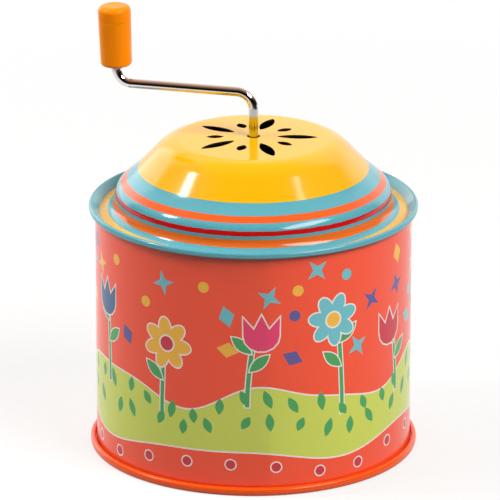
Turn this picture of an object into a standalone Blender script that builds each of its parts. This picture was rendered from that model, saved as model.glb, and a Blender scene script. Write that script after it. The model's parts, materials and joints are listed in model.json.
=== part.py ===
"""Hand-cranked tin music box: a tin can with a domed lid, a bent wire crank and a comb movement inside.

Metres, +Z up. The origin is the centre of the base, on the surface that the can stands on.
The crank's arm points to -X, and the can's seam is at the back.
"""

from math import acos, atan2, ceil, cos, pi, radians, sin, tan

import bmesh
import bpy
from mathutils import Matrix, Vector

MM = 0.001

# Clearances
GAP = 0.3 * MM  # between pieces that touch each other on the real object
RUNNING = 0.2 * MM  # radial play of a shaft that turns in its bush
LID_HOLE_PLAY = 0.4 * MM  # radial play of the crank's shaft in the lid
PIN_CLEARANCE = 0.25 * MM  # from the pins' sweep to the comb's tips
WHEEL_FLOOR_GAP = 1.1 * MM  # from the worm wheel down to the bedplate
BACKLASH = 0.4 * MM  # along the worm's pitch line

# Can
TIN = 0.35 * MM
BODY_R = 37.5 * MM
BEAD_PROUD = 1.5 * MM  # how far both rims stand out from the wall
CAN_HEIGHT = 60.0 * MM
LID_BEAD_H = 1.5 * MM
BASE_BEAD_H = 2.0 * MM
BEAD_BEND_R = 0.5 * MM
PAN_RECESS = 2.9 * MM
PAN_WALL_SLANT = 1.2 * MM  # how far the recess's wall leans inwards
PAN_BEND_R = 0.35 * MM
SEAM_WIDTH = 4.0 * MM
SEAM_PROUD = 0.25 * MM
SEAM_ANGLE = radians(100)

# Lid pressing
VALLEY_WIDTH = 4.8 * MM  # from the wall's outside in to the dome's upright foot
SHOULDER_RISE = 3.1 * MM  # these rises are measured from the rim's top
CROWN_RISE = 16.3 * MM
CROWN_SAG = 0.4 * MM
CONE_SLOPE = radians(45)
CROWN_BEND_R = 10.0 * MM
FOOT_BEND_R = 1.4 * MM
STEP_STRAIGHT = 0.1 * MM  # upright stretch between the shoulder's bend and the foot's
VALLEY_INSET = 0.75 * MM  # from the body's inside to the valley's lowest line
VALLEY_DROP = 1.95 * MM
VALLEY_FALL = 1.95 * MM
VALLEY_BEND_R = 0.4 * MM
RIM_LIP = 0.8 * MM  # width of the rim's rounded top

# Sound slots, as leaf shapes on a ring
SLOT_PAIRS = 5
SLOT_TURN = radians(10)
LONG_SLOT_START_R = 5.5 * MM
LONG_SLOT_END_R = 15.2 * MM
LONG_SLOT_WIDTH = 2.7 * MM
SHORT_SLOT_START_R = 7.0 * MM
SHORT_SLOT_END_R = 11.0 * MM
SHORT_SLOT_WIDTH = 1.9 * MM

# Crank
WIRE_R = 1.15 * MM
ARM_RISE = 26.75 * MM  # above the rim's top, on the shaft's axis
ARM_TILT = radians(1.6)
THROW = 32.7 * MM
STUB_LEAN = radians(1.75)
SHAFT_BEND_R = 4.1 * MM
KNOB_BEND_R = 3.7 * MM
KNOB_STANDOFF = 0.3 * MM  # from the end of the stub's bend to the knob's foot

# Knob
KNOB_LENGTH = 15.1 * MM
KNOB_TOP_R = 3.92 * MM
KNOB_FOOT_R = 3.7 * MM
KNOB_TOP_BEND_R = 1.5 * MM
KNOB_FOOT_BEND_R = 1.0 * MM
CAP_LENGTH = 3.7 * MM
CAP_WALL = 1.2 * MM
SPIGOT_LENGTH = 1.0 * MM
RETAINER_WALL = 0.45 * MM
RETAINER_SLEEVE_H = 0.9 * MM
STUB_PROUD = 0.2 * MM  # the wire's end above the push nut
STUB_END_GAP = 0.4 * MM  # from the wire's end to the cap

# Worm and worm wheel
MODULE = 0.7 * MM
WHEEL_TEETH = 22
WORM_PITCH_R = 2.9 * MM
PRESSURE_ANGLE = radians(20)
ADDENDUM = 1.0 * MODULE
DEDENDUM = 1.25 * MODULE
WORM_LENGTH = 8.5 * MM
WORM_HUB_R = 3.1 * MM
WORM_HUB_H = 2.6 * MM
WHEEL_WIDTH = 4.5 * MM
GRUB_R = 0.7 * MM

# Pinned cylinder and comb
NOTES = 18
NOTE_PITCH = 1.05 * MM
TOOTH_GAP = 0.3 * MM
BARREL_R = 6.4 * MM
PIN_ROOT = 0.4 * MM  # how deep a pin sits in the barrel
BARREL_MARGIN = 1.05 * MM  # from each end of the barrel to its first track
BARREL_OFFSET = 4.2 * MM  # from the wheel's middle to the barrel
PIN_R = 0.22 * MM
PIN_HEIGHT = 0.7 * MM
BEATS = 36
ARBOR_R = 1.0 * MM
COMB_T = 0.9 * MM
TREBLE_TOOTH = 9.0 * MM
BASS_TOOTH = 15.0 * MM
COMB_BACK = 8.0 * MM
CLAMP_T = 1.5 * MM
CLAMP_WIDTH = 6.5 * MM
COMB_SCREWS = 3

# Frame of the movement
PLATE_T = 2.0 * MM
PLATE_MARGIN = 1.5 * MM
PLATE_CORNER_R = 8.0 * MM
CHEEK_T = 2.0 * MM
CHEEK_HALF_WIDTH = 4.0 * MM
CHEEK_CROWN = 4.0 * MM  # above the arbor
POST_LENGTH = 9.0 * MM
POST_FLATS = 5.5 * MM
POST_PLACES = {
    "front": (-10.8 * MM, -15.0 * MM),
    "rear": (-10.8 * MM, 14.0 * MM),
    "side": (23.8 * MM, -4.0 * MM),
}
BRIDGE_T = 1.5 * MM
PILLAR_X = -11.0 * MM
PILLAR_Y = 5.2 * MM
PILLAR_R = 2.8 * MM
BRIDGE_HALF_WIDTH = 8.5 * MM
BRIDGE_ROOT_X = -7.5 * MM
TONGUE_R = 4.0 * MM
BUSH_WALL = 1.0 * MM
BUSH_FLANGE = 1.0 * MM
FLANGE_T = 0.5 * MM
FOOT_FLOOR = 1.0 * MM
WASHER_T = 0.5 * MM

# Screws
SCREW_R = 1.2 * MM
SCREW_HEAD_R = 2.1 * MM
SCREW_HEAD_H = 1.3 * MM
SCREW_GRIP = 3.6 * MM  # how far a screw reaches into its post
SMALL_SCREW_R = 1.0 * MM
SMALL_HEAD_R = 1.8 * MM
SMALL_HEAD_H = 1.1 * MM
SMALL_SCREW_GRIP = 3.6 * MM
SLOT_SHARE = 0.25  # the driver slot's width, as a share of the head's radius

# Facets
CAN_SEGMENTS = 40
PART_SEGMENTS = 24
SMALL_SEGMENTS = 10
CHORD_ERROR = 0.04 * MM  # between an arc and its facets
MERGE = 0.00001

# Places that several pieces share
RIM_R = BODY_R + BEAD_PROUD
STEP_R = BODY_R - VALLEY_WIDTH
BODY_IN_R = BODY_R - TIN
SPIGOT_R = BODY_IN_R - GAP
LID_SEAM_Z = CAN_HEIGHT - LID_BEAD_H
SHAFT_SEAT_R = WIRE_R + RUNNING
PAN_TOP = PAN_RECESS + TIN
POST_Z = PAN_TOP + GAP
PLATE_Z = POST_Z + POST_LENGTH + GAP
PLATE_TOP = PLATE_Z + PLATE_T
PITCH = pi * MODULE
WHEEL_PITCH_R = WHEEL_TEETH * MODULE / 2
WHEEL_R = WHEEL_PITCH_R + ADDENDUM
WORM_R = WORM_PITCH_R + ADDENDUM
DRUM_Y = WHEEL_PITCH_R + WORM_PITCH_R
DRUM_Z = PLATE_TOP + WHEEL_FLOOR_GAP + WHEEL_R
WORM_TOP = DRUM_Z + WORM_LENGTH / 2
WORM_FOOT = DRUM_Z - WORM_LENGTH / 2
TOOTH_HALF = (PITCH / 2 - BACKLASH / 2) / 2
FLANK = tan(PRESSURE_ANGLE)
WASHER_Z = WORM_TOP + GAP
BRIDGE_FLANGE_Z = WASHER_Z + WASHER_T + GAP
BRIDGE_Z = BRIDGE_FLANGE_Z + FLANGE_T + GAP
BARREL_LENGTH = (NOTES - 1) * NOTE_PITCH + 2 * BARREL_MARGIN
BARREL_END = BARREL_OFFSET + BARREL_LENGTH
LEFT_CHEEK_X = -WHEEL_WIDTH / 2 - 2 * GAP - FLANGE_T - CHEEK_T
RIGHT_CHEEK_X = BARREL_END + 2 * GAP + FLANGE_T
COMB_TIP_Y = DRUM_Y - BARREL_R - PIN_HEIGHT - PIN_CLEARANCE
COMB_ROOT_Y = COMB_TIP_Y - BASS_TOOTH
COMB_END_Y = COMB_ROOT_Y - COMB_BACK + (BASS_TOOTH - TREBLE_TOOTH) / 2
COMB_Z = DRUM_Z - COMB_T / 2
COMB_X0 = BARREL_OFFSET + BARREL_MARGIN - (NOTE_PITCH - TOOTH_GAP) / 2
COMB_X1 = BARREL_END - BARREL_MARGIN + (NOTE_PITCH - TOOTH_GAP) / 2
CLAMP_Y = COMB_END_Y + CLAMP_WIDTH / 2
SEAT_TOP = COMB_Z - GAP
KNOB_LIFT = KNOB_BEND_R * tan((pi / 2 - ARM_TILT - STUB_LEAN) / 2) + KNOB_STANDOFF
KNOB_FOOT = Vector((
    -THROW - KNOB_LIFT * sin(STUB_LEAN),
    0,
    CAN_HEIGHT + ARM_RISE + THROW * tan(ARM_TILT) + KNOB_LIFT * cos(STUB_LEAN),
))
JOINT_Z = KNOB_LENGTH - CAP_LENGTH  # where cap and knob meet, up the stub
STUB_END = JOINT_Z - SPIGOT_LENGTH - STUB_END_GAP
RETAINER_Z = STUB_END - STUB_PROUD - RETAINER_SLEEVE_H
SOCKET_Z = RETAINER_Z - GAP


# Scene and materials


def clear_scene():
    for obj in list(bpy.data.objects):
        bpy.data.objects.remove(obj, do_unlink=True)


def material(name, colour, roughness, metallic=0.0):
    mat = bpy.data.materials.new(name)
    mat.use_nodes = True
    shader = mat.node_tree.nodes["Principled BSDF"]
    shader.inputs["Base Color"].default_value = (*colour, 1.0)
    shader.inputs["Roughness"].default_value = roughness
    shader.inputs["Metallic"].default_value = metallic
    mat.diffuse_color = (*colour, 1.0)
    return mat


def pivot(name, location=(0, 0, 0), lean=0.0):
    """An empty on a joint's axis, which carries the pieces that turn about it."""
    empty = bpy.data.objects.new(name, None)
    empty.location = location
    empty.rotation_euler = (0, lean, 0)
    bpy.context.collection.objects.link(empty)
    return empty


def linked(name, data, mat, location=(0, 0, 0), rotation=(0, 0, 0), parent=None):
    obj = bpy.data.objects.new(name, data)
    obj.location = location
    obj.rotation_euler = rotation
    obj.parent = parent
    if mat is not None:
        data.materials.append(mat)
    bpy.context.collection.objects.link(obj)
    return obj


def helper(obj):
    obj.hide_render = True
    obj.display_type = "WIRE"
    return obj


# Outlines


def circle(radius, segments, x=0.0, y=0.0):
    turns = [2 * pi * i / segments for i in range(segments)]
    return [(x + radius * cos(a), y + radius * sin(a)) for a in turns]


def rectangle(x0, x1, y0, y1):
    return [(x0, y0), (x1, y0), (x1, y1), (x0, y1)]


def rounded(corners):
    """The polyline through corners (x, y, bend radius), with each bend as an arc."""
    points = []
    for i, (x, y, radius) in enumerate(corners):
        here = Vector((x, y))
        if radius <= 0 or i in (0, len(corners) - 1):
            points.append((x, y))
            continue
        back = (Vector(corners[i - 1][:2]) - here).normalized()
        on = (Vector(corners[i + 1][:2]) - here).normalized()
        half = back.angle(on) / 2
        centre = here + (back + on).normalized() * (radius / sin(half))
        start = here + back * (radius / tan(half)) - centre
        end = here + on * (radius / tan(half)) - centre
        turn = start.angle_signed(end)
        facet = 2 * acos(max(1 - CHORD_ERROR / radius, 0.0))
        steps = max(2, ceil(abs(turn) / facet))
        for k in range(steps + 1):
            spoke = start.copy()
            spoke.rotate(Matrix.Rotation(-turn * k / steps, 2))
            points.append(tuple(centre + spoke))
    return points


def looped(corners):
    """As rounded, for a closed outline whose first corner is bent too."""
    ends = rounded([corners[-1], *corners, corners[0]])
    return ends[1:-1]


def beneath(corners, depth):
    """The corners of the sheet's underside, depth below the given top side that runs outwards."""
    lines = []
    for (x0, y0, _), (x1, y1, _) in zip(corners, corners[1:]):
        along = Vector((x1 - x0, y1 - y0)).normalized()
        lines.append((Vector((x0, y0)) + Vector((along.y, -along.x)) * depth, along))
    found = [(*lines[0][0], 0.0)]
    for (p, u), (q, v), (_, _, radius) in zip(lines, lines[1:], corners[1:]):
        bend = u.x * v.y - u.y * v.x
        cross = p + u * ((q - p).x * v.y - (q - p).y * v.x) / bend
        found.append((*cross, max(radius + (depth if bend > 0 else -depth), 0.0)))
    return found


# Solids


def loft(bm, rings):
    """A closed solid through rings of as many points each, capped at both ends."""
    rows = [[bm.verts.new(p) for p in ring] for ring in rings]
    count = len(rows[0])
    for low, high in zip(rows, rows[1:]):
        for i in range(count):
            j = (i + 1) % count
            bm.faces.new((low[i], low[j], high[j], high[i]))
    bm.faces.new(rows[0][::-1])
    bm.faces.new(rows[-1])


def prism(bm, outline, z0, z1, turn=None):
    rings = [[Vector((x, y, z)) for x, y in outline] for z in (z0, z1)]
    if turn is not None:
        rings = [[turn @ p for p in ring] for ring in rings]
    loft(bm, rings)


def mesh_of(name, build):
    """A mesh made by build(bm), with its faces turned out and its round sides smooth."""
    bm = bmesh.new()
    build(bm)
    bmesh.ops.recalc_face_normals(bm, faces=bm.faces)
    mesh = bpy.data.meshes.new(name)
    bm.to_mesh(mesh)
    bm.free()
    mesh.shade_smooth()
    mesh.set_sharp_from_angle(angle=radians(35))
    return mesh


def turned(name, outline, mat, segments=PART_SEGMENTS, on_axis=False, **placed):
    """A piece turned about its own Z from (radius, height) points that run down its outer side."""
    last = len(outline) - 1
    edges = [(i, i + 1) for i in range(last)]
    if not on_axis:
        edges.append((last, 0))
    mesh = bpy.data.meshes.new(name)
    mesh.from_pydata([(r, 0.0, z) for r, z in outline], edges, [])
    obj = linked(name, mesh, mat, **placed)
    spin = obj.modifiers.new("spin", "SCREW")
    spin.steps = segments
    spin.render_steps = segments
    spin.use_merge_vertices = True
    spin.merge_threshold = MERGE
    return obj


def flat_piece(name, outline, z, thickness, mat, **placed):
    """A piece cut from plate or bar: the outline, from z up by its thickness."""
    mesh = mesh_of(name, lambda bm: prism(bm, outline, z, z + thickness))
    return linked(name, mesh, mat, **placed)


def combine(obj, operation, build):
    """Cuts from obj, or joins to it, the solids made by build(bm) in its own frame."""
    name = f"{obj.name}_{operation.lower()}"
    other = helper(linked(name, mesh_of(name, build), None))
    other.matrix_world = Matrix.Translation(obj.location) @ obj.rotation_euler.to_matrix().to_4x4()
    other.parent = obj.parent
    step = obj.modifiers.new(operation.lower(), "BOOLEAN")
    step.operation = operation
    step.object = other
    return obj


def chamfered(obj, width):
    bevel = obj.modifiers.new("edges", "BEVEL")
    bevel.width = width
    bevel.segments = 1
    bevel.limit_method = "ANGLE"
    bevel.angle_limit = radians(50)
    return obj


def baked(obj):
    """Obj with its modifiers made into its mesh, smooth on round sides and sharp at edges."""
    bpy.context.view_layer.update()
    graph = bpy.context.evaluated_depsgraph_get()
    mesh = bpy.data.meshes.new_from_object(obj.evaluated_get(graph))
    obj.modifiers.clear()
    obj.data = mesh
    mesh.shade_smooth()
    mesh.set_sharp_from_angle(angle=radians(35))
    return obj


# Can


def lid_top_corners():
    """The lid's upper side from the shaft hole out to the rim's top, as (radius, height, bend)."""
    crown = CAN_HEIGHT + CROWN_RISE
    shoulder = CAN_HEIGHT + SHOULDER_RISE
    crown_edge = STEP_R - (crown - CROWN_SAG - shoulder) / tan(CONE_SLOPE)
    valley = CAN_HEIGHT - VALLEY_DROP
    valley_r = BODY_IN_R - VALLEY_INSET
    foot = valley + VALLEY_FALL
    foot_turn = pi / 2 - atan2(VALLEY_FALL, valley_r - STEP_R)
    shoulder_room = shoulder - foot - STEP_STRAIGHT - FOOT_BEND_R * tan(foot_turn / 2)
    shoulder_bend = shoulder_room / tan((pi / 2 - CONE_SLOPE) / 2)
    return [
        (WIRE_R + LID_HOLE_PLAY, crown, 0.0),
        (crown_edge, crown - CROWN_SAG, CROWN_BEND_R),
        (STEP_R, shoulder, shoulder_bend),
        (STEP_R, foot, FOOT_BEND_R),
        (valley_r, valley, VALLEY_BEND_R),
        (RIM_R - RIM_LIP, CAN_HEIGHT, 0.0),
    ]


def sound_slots(bm):
    """Leaf-shaped cutters, long and short by turns, through the dome."""
    sizes = (
        (LONG_SLOT_START_R, LONG_SLOT_END_R, LONG_SLOT_WIDTH),
        (SHORT_SLOT_START_R, SHORT_SLOT_END_R, SHORT_SLOT_WIDTH),
    )
    steps = 6
    for i in range(2 * SLOT_PAIRS):
        start, end, width = sizes[i % 2]
        side = [
            (start + (end - start) * (1 - cos(pi * k / steps)) / 2, width / 2 * sin(pi * k / steps))
            for k in range(steps + 1)
        ]
        leaf = side + [(x, -y) for x, y in side[-2:0:-1]]
        turn = Matrix.Rotation(SLOT_TURN + pi * i / SLOT_PAIRS, 3, "Z")
        prism(bm, leaf, CAN_HEIGHT, CAN_HEIGHT + 2 * CROWN_RISE, turn)


def make_lid(mat):
    """The domed lid. Its spigot sits inside the wall, and its bead hangs over the wall's top edge."""
    top = lid_top_corners()
    under = beneath(top, TIN)
    floor_in, floor_out = under[3], under[4]
    fall = (floor_out[1] - floor_in[1]) / (floor_out[0] - floor_in[0])
    spigot_z = floor_in[1] + fall * (SPIGOT_R - floor_in[0])
    bead = [
        (RIM_R, CAN_HEIGHT, BEAD_BEND_R),
        (RIM_R, LID_SEAM_Z, BEAD_BEND_R),
        (BODY_R, LID_SEAM_Z, 0.0),
        (BODY_R, LID_SEAM_Z - GAP, 0.0),
        (SPIGOT_R, LID_SEAM_Z - GAP, 0.0),
        (SPIGOT_R, spigot_z, 0.0),
    ]
    outline = looped(top + bead + under[3::-1])
    return baked(combine(turned("lid", outline, mat, CAN_SEGMENTS), "DIFFERENCE", sound_slots))


def make_body_wall(mat):
    """The rolled wall, with its lap seam standing a little proud at the back."""
    seam_half = SEAM_WIDTH / 2 / BODY_R
    ramp = SEAM_PROUD / BODY_R
    turns = {2 * pi * i / CAN_SEGMENTS: 0.0 for i in range(CAN_SEGMENTS)}
    turns = {a: proud for a, proud in turns.items() if abs(a - SEAM_ANGLE) > seam_half + 2 * ramp}
    for sign in (-1, 1):
        turns[SEAM_ANGLE + sign * (seam_half + ramp)] = 0.0
        turns[SEAM_ANGLE + sign * seam_half] = SEAM_PROUD
    ordered = sorted(turns)
    spokes = [(Vector((cos(a), sin(a), 0)), turns[a]) for a in ordered]
    z0 = BASE_BEAD_H + 2 * GAP
    z1 = LID_SEAM_Z - 2 * GAP

    def build(bm):
        loops = []
        for radius, z, seam in ((BODY_R, z0, 1), (BODY_R, z1, 1), (BODY_IN_R, z1, 0), (BODY_IN_R, z0, 0)):
            lift = Vector((0, 0, z))
            loops.append([bm.verts.new(out * (radius + seam * proud) + lift) for out, proud in spokes])
        count = len(spokes)
        for k, low in enumerate(loops):
            high = loops[(k + 1) % len(loops)]
            for i in range(count):
                j = (i + 1) % count
                bm.faces.new((low[i], low[j], high[j], high[i]))

    return linked("body_wall", mesh_of("body_wall", build), mat)


def make_base_pan(mat):
    """The recessed bottom, whose bead is what the can stands on."""
    outline = rounded([
        (0.0, PAN_TOP, 0.0),
        (SPIGOT_R, PAN_TOP, 0.0),
        (SPIGOT_R, BASE_BEAD_H + GAP, 0.0),
        (BODY_R, BASE_BEAD_H + GAP, 0.0),
        (BODY_R, BASE_BEAD_H, 0.0),
        (RIM_R, BASE_BEAD_H, BEAD_BEND_R),
        (RIM_R, 0.0, BEAD_BEND_R),
        (BODY_R, 0.0, PAN_BEND_R),
        (BODY_R - PAN_WALL_SLANT, PAN_RECESS, PAN_BEND_R),
        (0.0, PAN_RECESS, 0.0),
    ])

    def holes(bm):
        for x, y in POST_PLACES.values():
            prism(bm, circle(SCREW_R + GAP, SMALL_SEGMENTS, x, y), 0.0, POST_Z)

    return baked(combine(turned("base_pan", outline, mat, CAN_SEGMENTS, on_axis=True), "DIFFERENCE", holes))


# Crank and knob


def make_crank_rod(mat, axis):
    """One bent wire: the shaft, the arm and the stub that the knob turns on."""
    arm_z = CAN_HEIGHT + ARM_RISE
    stub = Vector((-sin(STUB_LEAN), 0, cos(STUB_LEAN)))
    tip = KNOB_FOOT + stub * STUB_END
    path = rounded([
        (0.0, PLATE_Z + FOOT_FLOOR + GAP, 0.0),
        (0.0, arm_z, SHAFT_BEND_R),
        (-THROW, arm_z + THROW * tan(ARM_TILT), KNOB_BEND_R),
        (tip.x, tip.z, 0.0),
    ])
    curve = bpy.data.curves.new("crank_rod", "CURVE")
    curve.dimensions = "3D"
    curve.bevel_depth = WIRE_R
    curve.bevel_resolution = 4
    curve.use_fill_caps = True
    spline = curve.splines.new("POLY")
    spline.points.add(len(path) - 1)
    for point, (x, z) in zip(spline.points, path):
        point.co = (x, 0.0, z, 1.0)
    return linked("crank_rod", curve, mat, parent=axis)


def knob_radius(height):
    return KNOB_FOOT_R + (KNOB_TOP_R - KNOB_FOOT_R) * height / KNOB_LENGTH


def make_knob(mat, axis):
    """The knob, bored for the stub, with a socket at its top for the push nut and the cap's spigot."""
    top = JOINT_Z - GAP / 2
    socket_r = knob_radius(top) - CAP_WALL
    outline = looped([
        (socket_r, top, 0.0),
        (knob_radius(top), top, 0.0),
        (KNOB_FOOT_R, 0.0, KNOB_FOOT_BEND_R),
        (SHAFT_SEAT_R, 0.0, 0.0),
        (SHAFT_SEAT_R, SOCKET_Z, 0.0),
        (socket_r, SOCKET_Z, 0.0),
    ])
    return baked(turned("crank_knob", outline, mat, parent=axis))


def make_cap(mat, axis):
    """The press-in cap that closes the knob's socket and rounds off its top."""
    foot = JOINT_Z + GAP / 2
    spigot_r = knob_radius(foot) - CAP_WALL - GAP
    outline = rounded([
        (0.0, KNOB_LENGTH, 0.0),
        (KNOB_TOP_R, KNOB_LENGTH, KNOB_TOP_BEND_R),
        (knob_radius(foot), foot, 0.0),
        (spigot_r, foot, 0.0),
        (spigot_r, JOINT_Z - SPIGOT_LENGTH, 0.0),
        (0.0, JOINT_Z - SPIGOT_LENGTH, 0.0),
    ])
    return baked(turned("knob_cap", outline, mat, on_axis=True, parent=axis))


def make_retainer(mat, axis):
    """The push nut on the stub: a washer with a raised sleeve that grips the wire."""
    z0 = RETAINER_Z
    flange_r = knob_radius(z0) - CAP_WALL - GAP
    sleeve_r = WIRE_R + GAP + RETAINER_WALL
    outline = [
        (WIRE_R + GAP, z0 + RETAINER_SLEEVE_H),
        (sleeve_r, z0 + RETAINER_SLEEVE_H),
        (sleeve_r, z0 + RETAINER_WALL),
        (flange_r, z0 + RETAINER_WALL),
        (flange_r, z0),
        (WIRE_R + GAP, z0),
    ]
    placed = {"parent": axis, "location": KNOB_FOOT, "rotation": (0, -STUB_LEAN, 0)}
    return baked(turned("knob_retainer", outline, mat, **placed))


# Worm drive


def thread_sections():
    """The thread's cross-sections along its helix, each rooted a little inside the worm's core."""
    root_r = WORM_PITCH_R - DEDENDUM
    sunk_r = (root_r + WIRE_R + GAP) / 2
    corners = (
        (sunk_r, -TOOTH_HALF - DEDENDUM * FLANK),
        (WORM_R, -TOOTH_HALF + ADDENDUM * FLANK),
        (WORM_R, TOOTH_HALF - ADDENDUM * FLANK),
        (sunk_r, TOOTH_HALF + DEDENDUM * FLANK),
    )
    reach = WORM_LENGTH / 2 - TOOTH_HALF - DEDENDUM * FLANK - GAP / 2
    half_steps = int(reach / PITCH * PART_SEGMENTS)
    for k in range(-half_steps, half_steps):
        turns = (k + 0.5) / PART_SEGMENTS
        out = Vector((cos(2 * pi * turns + pi / 2), sin(2 * pi * turns + pi / 2), 0))
        lift = Vector((0, 0, DRUM_Z + PITCH * turns))
        yield [out * r + Vector((0, 0, z)) + lift for r, z in corners]


def make_worm(mat, axis):
    """A single-start worm with a hub below it, fixed to the shaft by a grub screw."""
    root_r = WORM_PITCH_R - DEDENDUM
    hub_foot = WORM_FOOT - WORM_HUB_H
    bore_r = WIRE_R + GAP
    outline = [
        (bore_r, WORM_TOP),
        (root_r, WORM_TOP),
        (root_r, WORM_FOOT),
        (WORM_HUB_R, WORM_FOOT),
        (WORM_HUB_R, hub_foot),
        (bore_r, hub_foot),
    ]
    worm = turned("worm", outline, mat, parent=axis)
    combine(worm, "UNION", lambda bm: loft(bm, list(thread_sections())))
    hole = circle(GRUB_R + GAP, SMALL_SEGMENTS)
    side = Matrix.Rotation(pi / 2, 3, "Y")

    def grub_hole(bm):
        rings = [[side @ Vector((x, y, z)) for x, y in hole] for z in (WIRE_R, 2 * WORM_HUB_R)]
        lift = Vector((0, 0, WORM_FOOT - WORM_HUB_H / 2))
        loft(bm, [[p + lift for p in ring] for ring in rings])

    return baked(combine(worm, "DIFFERENCE", grub_hole))


def wheel_outline():
    """The wheel's teeth, with the middle of a tooth space towards the worm."""
    root_r = WHEEL_PITCH_R - DEDENDUM
    flanks = (
        (root_r, -TOOTH_HALF - DEDENDUM * FLANK),
        (WHEEL_R, -TOOTH_HALF + ADDENDUM * FLANK),
        (WHEEL_R, TOOTH_HALF - ADDENDUM * FLANK),
        (root_r, TOOTH_HALF + DEDENDUM * FLANK),
    )
    step = 2 * pi / WHEEL_TEETH
    points = []
    for tooth in range(WHEEL_TEETH):
        for r, half in flanks:
            points.append((r, pi + (tooth + 0.5) * step + half / r))
    return points


def make_worm_wheel(mat, axis):
    """A helical wheel that meshes with the worm, turning about the drum's axis."""
    twist = WHEEL_WIDTH * PITCH / (2 * pi * WORM_PITCH_R) / WHEEL_PITCH_R
    layers = 2

    def build(bm):
        rings = []
        for k in range(layers + 1):
            share = k / layers - 0.5
            ring = [(r, a + twist * share) for r, a in wheel_outline()]
            rings.append([Vector((WHEEL_WIDTH * share, r * cos(a), r * sin(a))) for r, a in ring])
        loft(bm, rings)

    wheel = linked("worm_wheel", mesh_of("worm_wheel", build), mat, parent=axis)
    along = Matrix.Rotation(pi / 2, 3, "Y")
    bore = circle(ARBOR_R + GAP, PART_SEGMENTS)
    return baked(combine(wheel, "DIFFERENCE", lambda bm: prism(bm, bore, -WHEEL_WIDTH, WHEEL_WIDTH, along)))


# Drum and comb


def cylinder_pins(bm):
    """The pins, in a rising and falling run of notes with a slower one under it."""
    foot_r = BARREL_R - PIN_ROOT
    tip_r = BARREL_R + PIN_HEIGHT
    for beat in range(BEATS):
        turn = Matrix.Rotation(2 * pi * beat / BEATS, 3, "X")
        sweep = beat % (2 * NOTES - 2)
        high = min(sweep, 2 * NOTES - 2 - sweep)
        notes = {high, (high + NOTES // 2) % NOTES} if beat % 2 else {high}
        for note in notes:
            x = BARREL_OFFSET + BARREL_MARGIN + note * NOTE_PITCH
            section = circle(PIN_R, 6)
            rings = [[turn @ Vector((x + u, v, r)) for u, v in section] for r in (foot_r, tip_r)]
            loft(bm, rings)


def make_cylinder(mat, axis):
    """The barrel, bored for the arbor, with its pins."""
    bore_r = ARBOR_R + GAP
    outline = [
        (bore_r, BARREL_END),
        (BARREL_R, BARREL_END),
        (BARREL_R, BARREL_OFFSET),
        (bore_r, BARREL_OFFSET),
    ]
    barrel = turned("pinned_cylinder", outline, mat, parent=axis, rotation=(0, pi / 2, 0))
    spun = baked(barrel)
    spun.data.transform(Matrix.Rotation(pi / 2, 4, "Y"))
    spun.rotation_euler = (0, 0, 0)
    return baked(combine(spun, "UNION", cylinder_pins))


def make_arbor(mat, axis):
    """The steel arbor through the wheel and the barrel, running in both cheeks."""
    x0 = LEFT_CHEEK_X - GAP
    x1 = RIGHT_CHEEK_X + CHEEK_T + GAP
    nose = ARBOR_R / 3
    outline = [(0, x1), (ARBOR_R - nose, x1), (ARBOR_R, x1 - nose)]
    outline += [(ARBOR_R, x0 + nose), (ARBOR_R - nose, x0), (0, x0)]
    placed = {"parent": axis, "rotation": (0, pi / 2, 0)}
    return baked(turned("cylinder_arbor", outline, mat, SMALL_SEGMENTS, on_axis=True, **placed))


def comb_screw_places():
    first = COMB_X0 + SMALL_HEAD_R + GAP
    last = COMB_X1 - SMALL_HEAD_R - GAP
    return [(first + (last - first) * i / (COMB_SCREWS - 1), CLAMP_Y) for i in range(COMB_SCREWS)]


def small_screw_holes(bm, places, z0, z1):
    for x, y in places:
        prism(bm, circle(SMALL_SCREW_R + GAP, SMALL_SEGMENTS, x, y), z0, z1)


def comb_screw_holes(bm):
    """Holes through the clamp and the comb, down into the comb's seat."""
    top = COMB_Z + COMB_T + 2 * CLAMP_T
    small_screw_holes(bm, comb_screw_places(), SEAT_TOP - SMALL_SCREW_GRIP - GAP, top)


def make_comb(mat):
    """The steel comb: tuned teeth from long bass to short treble, cut from one plate."""
    width = NOTE_PITCH - TOOTH_GAP
    outline = [(COMB_X1, COMB_END_Y), (COMB_X0, COMB_END_Y)]
    for note in range(NOTES):
        length = BASS_TOOTH + (TREBLE_TOOTH - BASS_TOOTH) * note / (NOTES - 1)
        x = COMB_X0 + note * NOTE_PITCH
        root = COMB_TIP_Y - length
        outline += [(x, root), (x, COMB_TIP_Y), (x + width, COMB_TIP_Y), (x + width, root)]
    outline = outline[:2] + outline[3:-1]
    comb = flat_piece("comb", outline, COMB_Z, COMB_T, mat)
    return baked(combine(comb, "DIFFERENCE", comb_screw_holes))


def make_clamp(mat):
    """The bar that the comb's screws press on the comb's back."""
    z0 = COMB_Z + COMB_T + GAP
    outline = rectangle(COMB_X0, COMB_X1, CLAMP_Y - CLAMP_WIDTH / 2, CLAMP_Y + CLAMP_WIDTH / 2)
    clamp = chamfered(flat_piece("comb_clamp", outline, z0, CLAMP_T, mat), CLAMP_T / 5)
    return baked(combine(clamp, "DIFFERENCE", comb_screw_holes))


# Frame of the movement


def bush_r(shaft_r):
    return shaft_r + RUNNING + BUSH_WALL


def make_bush(name, mat, shaft_r, through, **placed):
    """A flanged bush: the flange lies at and above z = 0, and the barrel reaches down by through."""
    bore_r = shaft_r + RUNNING
    outline = [
        (bore_r, FLANGE_T),
        (bush_r(shaft_r) + BUSH_FLANGE, FLANGE_T),
        (bush_r(shaft_r) + BUSH_FLANGE, 0.0),
        (bush_r(shaft_r), 0.0),
        (bush_r(shaft_r), -through),
        (bore_r, -through),
    ]
    return baked(turned(name, outline, mat, **placed))


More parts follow.
